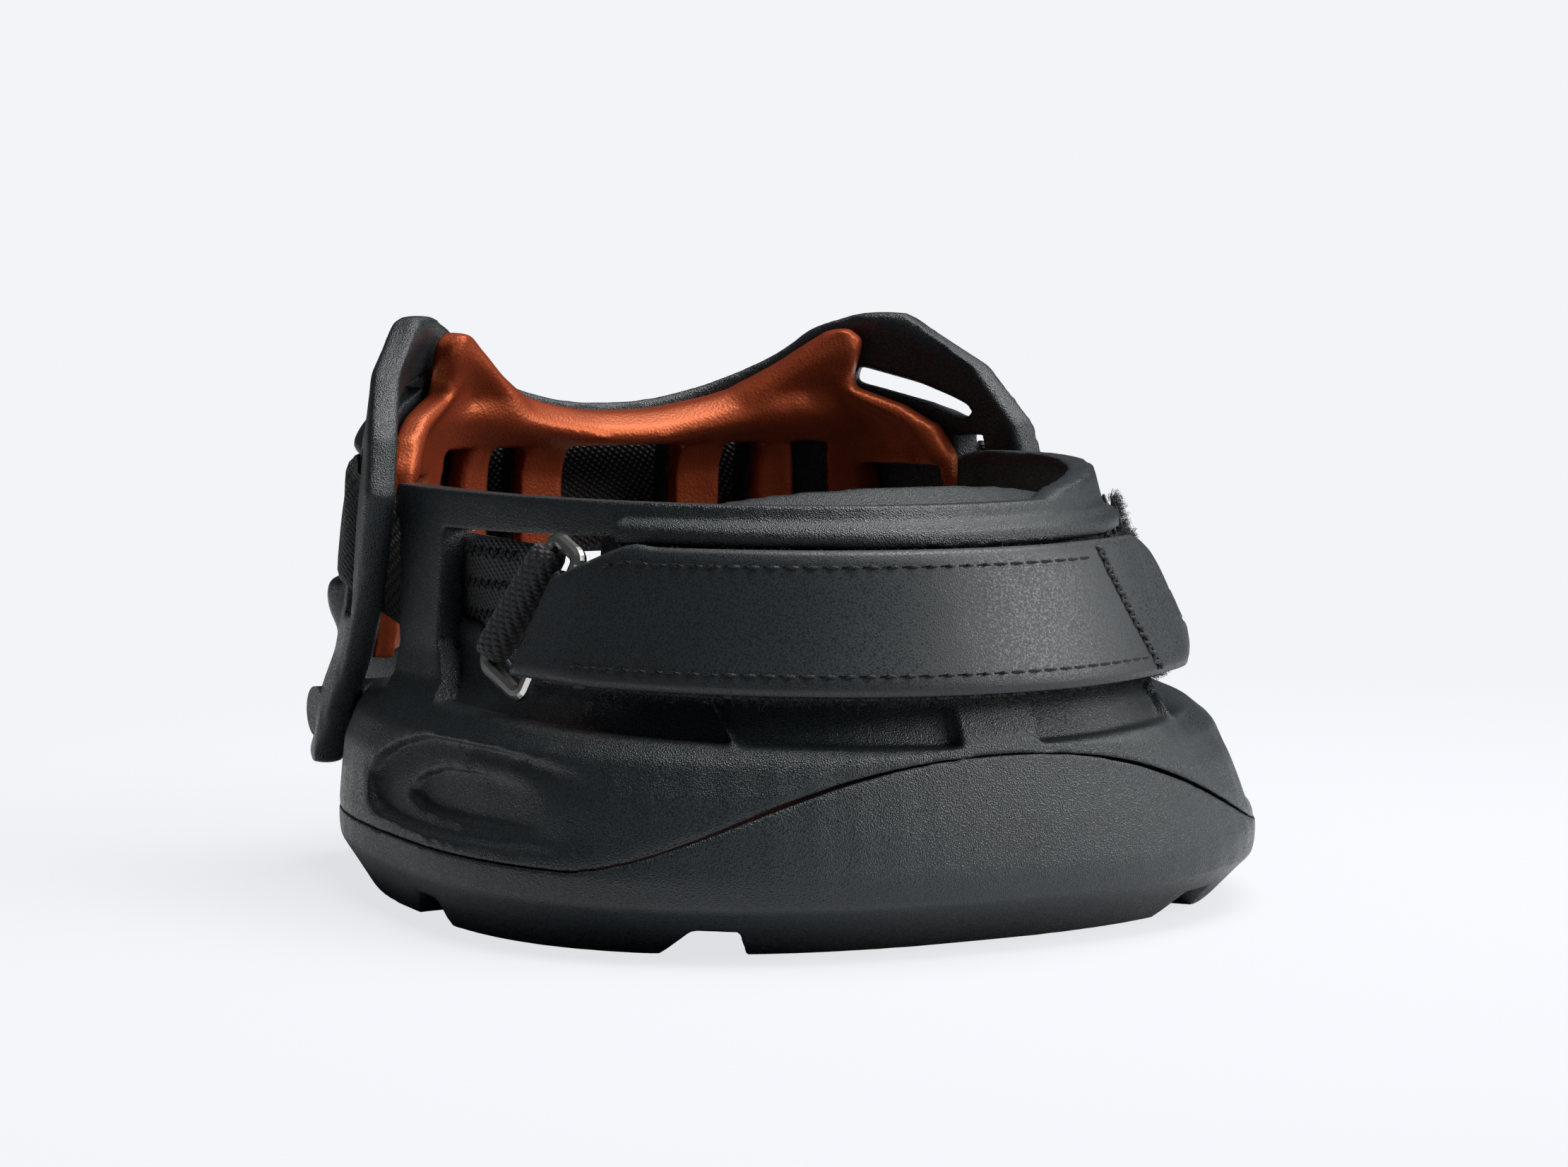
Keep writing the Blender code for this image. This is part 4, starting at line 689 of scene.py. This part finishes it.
def strap_line(angle, low, high, offset, count=4):
    """A line across the strap: it leans back at the sides like the band of a cone."""
    lean = STRAP_LEAN_SHARE * angle * abs(angle) / LEAN_ANGLE
    return [body_point(angle - lean * (up / count - 0.5), low + (high - low) * up / count, offset)
            for up in range(count + 1)]


def finer(rows, steps, over):
    """A denser grid through a grid of points: steps along each gap, over across each."""
    columns = [thread([row[index] for row in rows], steps) for index in range(len(rows[0]))]
    dense = []
    for index in range(len(columns[0])):
        dense.append(thread([column[index] for column in columns], over))
    return dense


def grid_normals(rows):
    """The direction out of the surface at each point of a grid."""
    found = []
    last, wide = len(rows) - 1, len(rows[0]) - 1
    for index, row in enumerate(rows):
        line = []
        for place in range(wide + 1):
            ahead = rows[min(index + 1, last)][place] - rows[max(index - 1, 0)][place]
            over = row[min(place + 1, wide)] - row[max(place - 1, 0)]
            line.append(ahead.cross(over).normalized())
        found.append(line)
    return found


def ribbon(name, rows, thickness, look, rounding=BAND_ROUNDING):
    """A woven band with soft edges: its map runs along it and across it in metres."""
    normals = grid_normals(rows)
    count, wide = len(rows), len(rows[0])
    along = [0.0]
    for before, after in zip(rows, rows[1:]):
        along.append(along[-1] + (after[wide // 2] - before[wide // 2]).length)
    width = (rows[0][-1] - rows[0][0]).length
    points, places = [], []
    for side in (1, -1):
        for index in range(count):
            for place in range(wide):
                share = place / (wide - 1)
                soft = max(1 - abs(2 * share - 1) ** rounding, 0.0) ** 0.5
                end = min(index, count - 1 - index, END_ROWS) / END_ROWS
                fade = END_SHARE + (1 - END_SHARE) * end
                lift = side * thickness / 2 * max(soft, EDGE_SHARE) * fade
                points.append(rows[index][place] + normals[index][place] * lift)
                places.append((along[index], share * width))
    faces = []
    back = count * wide
    for index in range(count - 1):
        for place in range(wide - 1):
            a = index * wide + place
            faces.append((a, a + wide, a + wide + 1, a + 1))
            faces.append((back + a, back + a + 1, back + a + wide + 1, back + a + wide))
        for place in (0, wide - 1):
            a = index * wide + place
            rim = (a, back + a, back + a + wide, a + wide)
            faces.append(rim if place == 0 else rim[::-1])
    for index in (0, count - 1):
        for place in range(wide - 1):
            a = index * wide + place
            rim = (a, a + 1, back + a + 1, back + a)
            faces.append(rim if index == 0 else rim[::-1])
    mesh = bpy.data.meshes.new(name)
    mesh.from_pydata(points, [], faces)
    layer = mesh.uv_layers.new(name="map")
    for loop in mesh.loops:
        layer.data[loop.index].uv = places[loop.vertex_index]
    mesh.shade_smooth()
    return link_object(name, mesh, look)


def grid_spot(grid, along, share):
    """A point of a grid: along counts its rows, share goes across."""
    index = min(int(along), len(grid) - 2)
    place = share * (len(grid[0]) - 1)
    left = min(int(place), len(grid[0]) - 2)
    over = place - left
    low = grid[index][left].lerp(grid[index][left + 1], over)
    high = grid[index + 1][left].lerp(grid[index + 1][left + 1], over)
    return low.lerp(high, along - index)


def surface_spot(rows, normals, along, share, lift):
    """A point over a grid of points."""
    return grid_spot(rows, along, share) + grid_spot(normals, along, share).normalized() * lift


def add_tube(points, faces, path, radius, sides):
    """Adds a capped tube along a short path; its radius may differ at each point."""
    base = len(points)
    count = len(path)
    for index, spot in enumerate(path):
        ahead = (path[min(index + 1, count - 1)] - path[max(index - 1, 0)]).normalized()
        first = ahead.orthogonal().normalized()
        second = ahead.cross(first)
        size = radius[index] if isinstance(radius, (list, tuple)) else radius
        for side in range(sides):
            turn = math.tau * side / sides
            points.append(spot + (first * math.cos(turn) + second * math.sin(turn)) * size)
    for index in range(count - 1):
        for side in range(sides):
            after = (side + 1) % sides
            a, b = base + index * sides, base + (index + 1) * sides
            faces.append((a + side, a + after, b + after, b + side))
    faces.append(tuple(base + side for side in range(sides))[::-1])
    faces.append(tuple(base + (count - 1) * sides + side for side in range(sides)))


def tubes(name, paths, radius, look, sides=6):
    """One piece made of a tube along each path."""
    points, faces = [], []
    for path in paths:
        add_tube(points, faces, path, radius, sides)
    mesh = bpy.data.meshes.new(name)
    mesh.from_pydata(points, [], faces)
    mesh.shade_smooth()
    return link_object(name, mesh, look)


def run_length(rows, share):
    """Length up to each row along a line at one share of the width."""
    found = [0.0]
    spots = [grid_spot(rows, index, share) for index in range(len(rows))]
    for before, after in zip(spots, spots[1:]):
        found.append(found[-1] + (after - before).length)
    return found


def row_at(lengths, place):
    """The row number, with its fraction, at a length along the line."""
    for index, (low, high) in enumerate(zip(lengths, lengths[1:])):
        if place <= high:
            return index + (place - low) / max(high - low, LEAST_GAP)
    return len(lengths) - 1.0


def stitch_paths(rows, lift, share_of, start, end, pitch, swing=0.0):
    """Short threads that come up through the fabric and go back in, in a straight or zigzag row."""
    normals = grid_normals(rows)
    lengths = run_length(rows, share_of)
    paths = []
    place = lengths[min(int(start), len(rows) - 1)]
    stop = lengths[min(int(end), len(rows) - 1)]
    side = 1
    while place + pitch < stop:
        path = []
        for part, height in STITCH_ARCH:
            rise = -STITCH_DIP if height is None else lift * height
            along = row_at(lengths, place + pitch * part)
            share = share_of + swing * side * (2 * part - 1)
            path.append(surface_spot(rows, normals, along, share, rise))
        paths.append(path)
        place += pitch
        side = -side
    return paths


def column_paths(rows, lift):
    """The zigzag seam across the strap's free end, sewn twice."""
    normals = grid_normals(rows)
    draw = random.Random(COLUMN_SEED)
    first, last = COLUMN_ROWS
    paths = []
    for swing in (COLUMN_SWING, -COLUMN_SWING):
        for index in range(COLUMN_COUNT):
            way = swing * (1 if index % 2 else -1)
            path = []
            for part, height in COLUMN_ARCH:
                share = COLUMN_TOP - COLUMN_SPAN * (index + part) / COLUMN_COUNT
                stray = way * (2 * part - 1) + draw.uniform(-COLUMN_STRAY, COLUMN_STRAY)
                along = first + (last - first) * (1 - share) + stray
                path.append(surface_spot(rows, normals, along, share, lift * height))
            paths.append(path)
    return paths


def stray_way(draw):
    """A random direction."""
    return Vector((draw.gauss(0, 1), draw.gauss(0, 1), draw.gauss(0, 1)))


def fuzz(name, spots, look):
    """Tangled short hairs that stand at the given points, each with its direction."""
    draw = random.Random(HAIR_SEED)
    paths = []
    for spot, out in spots:
        lean = stray_way(draw) * HAIR_SPREAD
        tall = HAIR_LENGTH * draw.uniform(0.5, 1.2)
        tip = spot + (out + lean).normalized() * tall
        curl = stray_way(draw) * tall * HAIR_CURL
        paths.append([spot - out * HAIR_ROOT, spot.lerp(tip, 0.5) + curl, tip])
    return tubes(name, paths, [HAIR_RADIUS * part for part in HAIR_TAPER], look, 3)


def layer_rows(start, end, low_inset, high_inset, offset, thickness, count):
    """A layer of the strap that hugs the toe, with the raised corner at its far end."""
    low, high = STRAP_LOW - BAND_DROP + low_inset, STRAP_HIGH - BAND_DROP - high_inset
    stations = []
    for index in range(count + 1):
        angle = start + (end - start) * index / count
        rise = blend_table(BAND_END_SHARES, angle)[0]
        stations.append(strap_line(angle, low + rise * LOW_EDGE_RISE, high + rise * BAND_CORNER_RISE,
                                   offset + thickness / 2))
    return stations


def flap_rows():
    """The strap's outer layer: round the ring's front bar, then back over the toe."""
    radius = RING_WIRE / 2 + FLAP_TURN_GAP + FLAP_THICKNESS / 2
    stations = bar_turn(1, radius, *FLAP_TURN, FLAP_RING_WIDTH)
    base = (BAND_GAP + BAND_THICKNESS + LOOP_THICKNESS + HOOK_THICKNESS + 3 * LAYER_GAP
            + FLAP_THICKNESS / 2)
    width = STRAP_HIGH - STRAP_LOW
    angles = [FLAP_START + FLAP_STEP * index for index in range(FLAP_COUNT)]
    angles += [row[0] for row in FLAP_END_SHARES]
    for angle in angles:
        low, high = blend_table(FLAP_END_SHARES, angle)
        lift = blend_table(FLAP_LIFT_SHARES, angle)[0] * FLAP_LIFT
        stations.append(strap_line(angle, STRAP_LOW + low * width, STRAP_LOW + high * width,
                                   base + lift))
    return stations


def left_rows():
    """Webbing from the cap to the ring, turned round the ring's rear bar and sewn down."""
    radius = RING_WIRE / 2 + WEB_GAP + WEB_THICKNESS / 2
    turn = bar_turn(-1, radius, *WEB_TURN, WEB_WIDTH)
    path = web_path(-1)
    path.append((turn[0][0], turn[0][-1]))
    stations = threaded(path)[:-1] + turn
    return stations, len(turn)


def heel_rows():
    """Webbing round the back of the heel cap."""
    low = WEB_MIDDLE - WEB_WIDTH / 2
    heights = [low + WEB_WIDTH * up / 4 for up in range(5)]
    limits = [HALF_TURN - rear_angle(WEB_SPLIT, height, web_face) for height in heights]
    stations = []
    for index in range(HEEL_STATIONS + 1):
        way = 1 - 2 * index / HEEL_STATIONS
        stations.append([web_face(HALF_TURN + limit * way, height)
                         for limit, height in zip(limits, heights)])
    return stations


def guard_rows(side):
    """The thin guard inside the wall, behind the front of the window."""
    stations = []
    first, last = GUARD_HIGH[0][0], GUARD_HIGH[-1][0]
    for index in range(GUARD_COUNT + 1):
        angle = first + (last - first) * index / GUARD_COUNT
        tall = blend_table(GUARD_HIGH, angle)[0] - GUARD_LOW
        stations.append([body_point(-side * angle, GUARD_LOW + tall * up / GUARD_ACROSS, GUARD_OFFSET)
                         for up in range(GUARD_ACROSS + 1)])
    return stations if side < 0 else [row[::-1] for row in stations]


def aimed(holder, place, aim):
    """Puts a lamp or the camera in the scene, looking along a direction."""
    bpy.context.scene.collection.objects.link(holder)
    holder.location = place
    holder.rotation_euler = aim.to_track_quat("-Z", "Y").to_euler()


def mixed(tree, share, first, second, end):
    """Shows the first shader, and the second by the given share."""
    mix = add_node(tree, "ShaderNodeMixShader", None, Fac=share)
    tree.links.new(first, mix.inputs[1])
    tree.links.new(second, mix.inputs[2])
    tree.links.new(mix.outputs["Shader"], end.inputs["Surface"])


def light_world(colours):
    """A pale sky to the eye and a dim one to the boot."""
    world = bpy.data.worlds.new("studio")
    bpy.context.scene.world = world
    world.use_nodes = True
    tree = world.node_tree
    dim = tree.nodes["Background"]
    dim.inputs["Color"].default_value = SKY_COLOUR
    dim.inputs["Strength"].default_value = SKY_STRENGTH
    path = add_node(tree, "ShaderNodeLightPath")
    seen = add_node(tree, "ShaderNodeMath", {"operation": "MAXIMUM"})
    tree.links.new(path.outputs["Is Camera Ray"], seen.inputs[0])
    tree.links.new(path.outputs["Is Transmission Ray"], seen.inputs[1])
    plain = add_node(tree, "ShaderNodeBackground", None, Color=(*colours.floor, 1), Strength=1.0)
    mixed(tree, seen.outputs["Value"], dim.outputs["Background"], plain.outputs["Background"],
          tree.nodes["World Output"])


def lay_floor(colours):
    """A pale floor that keeps a soft shadow near the boot and evens out further off."""
    mesh = bpy.data.meshes.new("floor")
    half = FLOOR_HALF
    corners = [(-half, -half, 0), (half, -half, 0), (half, half, 0), (-half, half, 0)]
    mesh.from_pydata(corners, [], [(0, 1, 2, 3)])
    paper = [part * FLOOR_SHADE for part in colours.floor]
    look, tree, shader = blank_material("floor_paper", paper, FLOOR_ROUGHNESS)
    shader.inputs["Specular IOR Level"].default_value = 0.0
    reach = add_node(tree, "ShaderNodeVectorMath", {"operation": "LENGTH"}, Vector=spot_of(tree))
    far = add_node(tree, "ShaderNodeMapRange", {"interpolation_type": "SMOOTHSTEP"},
                   Value=reach.outputs["Value"], From_Min=GLOW_NEAR, From_Max=GLOW_FAR, To_Min=GLOW_LEAST)
    glow = add_node(tree, "ShaderNodeEmission", None, Color=(*colours.floor, 1), Strength=1.0)
    path = add_node(tree, "ShaderNodeLightPath")
    both = add_node(tree, "ShaderNodeMath", {"operation": "MULTIPLY"})
    tree.links.new(far.outputs["Result"], both.inputs[0])
    tree.links.new(path.outputs["Is Camera Ray"], both.inputs[1])
    mixed(tree, both.outputs["Value"], shader.outputs["BSDF"], glow.outputs["Emission"],
          tree.nodes["Material Output"])
    floor = link_object("floor", mesh, look)


def stage():
    """Pale floor and soft studio light."""
    colours = bpy.context.scene.boot_colours
    light_world(colours)
    lay_floor(colours)
    for name, place, size, power in LAMPS:
        lamp = bpy.data.lights.new(name, "AREA")
        lamp.size = size
        lamp.energy = power
        aimed(bpy.data.objects.new(name, lamp), place, Vector(LAMP_AIM) - Vector(place))
    camera = bpy.data.cameras.new("camera")
    camera.lens = CAMERA_LENS
    camera.sensor_width = CAMERA_SENSOR
    camera.sensor_fit = "HORIZONTAL"
    camera.clip_start = CAMERA_CLIP
    holder = bpy.data.objects.new("camera", camera)
    aimed(holder, CAMERA_PLACE, Vector(CAMERA_AIM))
    bpy.context.scene.camera = holder
    bpy.context.scene.view_settings.view_transform = "Standard"


def lay_heel_webbing(web):
    """The middle run, which stays on the cap."""
    heel = ribbon("heel_webbing", finer(heel_rows(), *WEB_FINE), WEB_THICKNESS, web)
    dress(heel, "heel_cap", "black_webbing", "webbing_heel_run")


def lay_left_webbing(web, sewing):
    """The left run: its rear follows the cap, and its sewn fold follows the ring."""
    stations, turn_count = left_rows()
    steps = LEFT_FINE[0]
    rows = finer(stations, *LEFT_FINE)
    split = len(rows) - (turn_count + LEFT_SPLIT) * steps
    rear = ribbon("left_webbing_rear", rows[:split + 1], WEB_THICKNESS, web)
    front = ribbon("left_webbing_fold", rows[split - 1:], WEB_THICKNESS, web)
    dress(rear, None, "black_webbing", "webbing_left_run")
    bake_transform(rear)
    dress(front, None, "black_webbing", "webbing_left_run")
    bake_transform(front)
    end = len(rows) - turn_count * steps - FOLD_MARGIN
    paths = []
    for share in FOLD_SHARES:
        paths += stitch_paths(rows, WEB_THICKNESS / 2 + FOLD_LIFT, share, end - FOLD_ROWS, end,
                              FOLD_PITCH, FOLD_SWING)
    sewn = tubes("fold_stitching", paths, FOLD_THREAD, sewing)
    dress(sewn, None, "black_webbing")
    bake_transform(sewn)


def lay_right_webbing(web):
    """The right run: from the cap through the window to the back of the strap."""
    path = web_path(1)
    out = BAND_GAP - WEB_GAP * 3 - WEB_THICKNESS
    low, high = WEB_RUN_MIDDLE - WEB_WIDTH / 2, WEB_RUN_MIDDLE + WEB_WIDTH / 2
    for angle in RIGHT_RUN_ANGLES:
        path.append((body_point(angle, low, out), body_point(angle, high, out)))
    rows = [row[::-1] for row in finer(threaded(path), *WEB_FINE)]
    right = ribbon("right_webbing", rows, WEB_THICKNESS, web)
    dress(right, None, "black_webbing", "webbing_right_run")
    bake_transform(right)


def hair_spots(rows):
    """Roots of the loop pile's hairs: on the bare end of its face, and along its edges."""
    draw = random.Random(PILE_SEED)
    normals = grid_normals(rows)
    spots = []
    last = len(rows) - 1.0
    for _ in range(FACE_HAIRS):
        along, share = draw.uniform(len(rows) * BARE_SHARE, last), draw.uniform(0.0, 1.0)
        spot = surface_spot(rows, normals, along, share, LOOP_THICKNESS / 2)
        spots.append((spot, grid_spot(normals, along, share).normalized()))
    for _ in range(EDGE_HAIRS):
        along, share = draw.uniform(0.0, last), draw.choice((0.0, 0.0, 1.0))
        spot = surface_spot(rows, normals, along, share, draw.uniform(-0.5, 0.5) * LOOP_THICKNESS)
        row = rows[int(along)]
        over = (row[0] - row[-1]).normalized() * (1 if share == 0.0 else -1)
        spots.append((spot, over + grid_spot(normals, along, share).normalized() * 0.5))
    return spots


def lay_band(coat, pile):
    """The strap's lower band, its loop face with loose hairs, and the flap's hook pad."""
    rows = finer(layer_rows(BAND_START, BAND_END, 0.0, 0.0, BAND_GAP, BAND_THICKNESS, BAND_STATIONS),
                 *BAND_FINE)
    dress(ribbon("band_cloth", rows, BAND_THICKNESS, coat), "boot", "coated_fabric", "strap_band")
    offset = BAND_GAP + BAND_THICKNESS + LAYER_GAP
    rows = finer(layer_rows(LOOP_START, LOOP_END, LOOP_INSET, LOOP_INSET, offset, LOOP_THICKNESS,
                            BAND_STATIONS), *BAND_FINE)
    loop = ribbon("loop_cloth", rows, LOOP_THICKNESS, pile)
    dress(loop, "boot", "hook_and_loop_pile", "band_loop_face")
    hairs = fuzz("loop_pile_hairs", hair_spots(rows), pile)
    dress(hairs, "boot", "hook_and_loop_pile")
    offset += LOOP_THICKNESS + LAYER_GAP
    rows = finer(layer_rows(HOOK_START, HOOK_END, HOOK_INSET, HOOK_INSET * 2, offset, HOOK_THICKNESS,
                            HOOK_STATIONS), *BAND_FINE)
    hook = ribbon("hook_cloth", rows, HOOK_THICKNESS, pile)
    dress(hook, "flap", "hook_and_loop_pile", "flap_hook_pad")


def lay_flap(coat, sewing):
    """The strap's outer flap with its seams."""
    rows = finer(flap_rows(), *FLAP_FINE)
    flap = ribbon("flap_cloth", rows, FLAP_THICKNESS, coat, FLAP_ROUNDING)
    dress(flap, "flap", "coated_fabric", "strap_flap")
    lift = FLAP_THICKNESS / 2 + STITCH_LIFT
    paths = stitch_paths(rows, lift, LOW_STITCHES, STITCH_FIRST, COLUMN_ROWS[1], STITCH_PITCH)
    paths += stitch_paths(rows, lift, HIGH_STITCHES, STITCH_FIRST, COLUMN_ROWS[0], STITCH_PITCH)
    sewn = tubes("flap_stitching", paths, FLAP_THREAD, sewing)
    dress(sewn, "flap", "coated_fabric")
    sewn = tubes("flap_end_stitching", column_paths(rows, lift), COLUMN_THREAD, sewing)
    dress(sewn, "flap", "coated_fabric")


class BOOT_OT_shells(bpy.types.Operator):
    """Put rounded skins over the sole, the shell and the heel cap"""
    bl_idname = "boot.shells"
    bl_label = "Moulded Shells"

    def execute(self, context):
        sizes, colours = context.scene.boot_sizes, context.scene.boot_colours
        grid = sizes.skin_grid * 1.0
        look = moulded_look("moulded_shell", colours.shell, SHELL_ROUGHNESS)
        sole = moulded_look("moulded_sole", colours.shell, SOLE_ROUGHNESS)
        skin("outsole", "outsole_skin", grid, sole, "tread_polymer", *SOLE_SKIN)
        skin("upper_shell", "upper_shell_skin", grid, look, "black_polymer", *SHELL_SKIN)
        skin("heel_cap_shell", "heel_cap_skin", grid, look, "black_polymer", *CAP_SKIN)
        for side, name in ((-1, "window_guard_left"), (1, "window_guard_right")):
            guard = ribbon(name, finer(guard_rows(side), *GUARD_FINE), GUARD_THICKNESS, look)
            dress(guard, "boot", "black_polymer")
        recoloured(("pivot_pin_left", "pivot_pin_right"), look)
        return {"FINISHED"}


class BOOT_OT_lining(bpy.types.Operator):
    """Put the soft copper skin over the heel lining, and metal on the studs and the ring"""
    bl_idname = "boot.lining"
    bl_label = "Heel Lining"

    def execute(self, context):
        sizes, colours = context.scene.boot_sizes, context.scene.boot_colours
        look = lining_look(colours.lining)
        grid = sizes.skin_grid * LINING_GRID
        made = skin("heel_lining", "heel_lining_pad", grid, look, "copper_foam", *LINING_SKIN)
        metal_nodes = ("lining_stud_left", "lining_stud_right", "ring")
        recoloured(metal_nodes, metal_look(colours.metal))
        for node in metal_nodes:
            frame["nodes"][node].data.shade_smooth()
        return {"FINISHED"}


class BOOT_OT_straps(bpy.types.Operator):
    """Lay the webbing and the strap"""
    bl_idname = "boot.straps"
    bl_label = "Straps"

    def execute(self, context):
        colours = context.scene.boot_colours
        web = woven_look("woven_webbing", colours.webbing, WEAVE_PITCH)
        pile = pile_look("loop_pile", colours.webbing)
        coat = moulded_look("coated_strap", colours.strap, STRAP_ROUGHNESS, STRAP_GRAIN)
        black = [part * THREAD_SHADE for part in colours.webbing]
        sewing = moulded_look("black_thread", black, THREAD_ROUGHNESS)
        lay_heel_webbing(web)
        lay_left_webbing(web, sewing)
        lay_right_webbing(web)
        lay_band(coat, pile)
        lay_flap(coat, sewing)
        return {"FINISHED"}


class BOOT_OT_stage(bpy.types.Operator):
    """Set up the floor, the light and the camera"""
    bl_idname = "boot.stage"
    bl_label = "Stage"

    def execute(self, context):
        stage()
        return {"FINISHED"}


class BOOT_PT_panel(bpy.types.Panel):
    """Panel of the hoof boot"""
    bl_idname = "BOOT_PT_panel"
    bl_label = "Hoof Boot"
    bl_space_type = "VIEW_3D"
    bl_region_type = "UI"
    bl_category = "Hoof Boot"

    def draw(self, context):
        for group in (context.scene.boot_sizes, context.scene.boot_colours):
            for key in group.__annotations__:
                self.layout.prop(group, key)
        for operator in OPERATORS:
            self.layout.operator(operator.bl_idname)


OPERATORS = (BOOT_OT_shells, BOOT_OT_lining, BOOT_OT_straps, BOOT_OT_stage)
CLASSES = (BootSizes, BootColours, *OPERATORS, BOOT_PT_panel)


def register():
    for item in CLASSES:
        bpy.utils.register_class(item)
    bpy.types.Scene.boot_sizes = bpy.props.PointerProperty(type=BootSizes)
    bpy.types.Scene.boot_colours = bpy.props.PointerProperty(type=BootColours)


def unregister():
    del bpy.types.Scene.boot_colours
    del bpy.types.Scene.boot_sizes
    for item in reversed(CLASSES):
        bpy.utils.unregister_class(item)


def main():
    register()
    bpy.ops.boot.shells()
    bpy.ops.boot.lining()
    bpy.ops.boot.straps()
    bpy.ops.boot.stage()


if __name__ == "__main__":
    main()
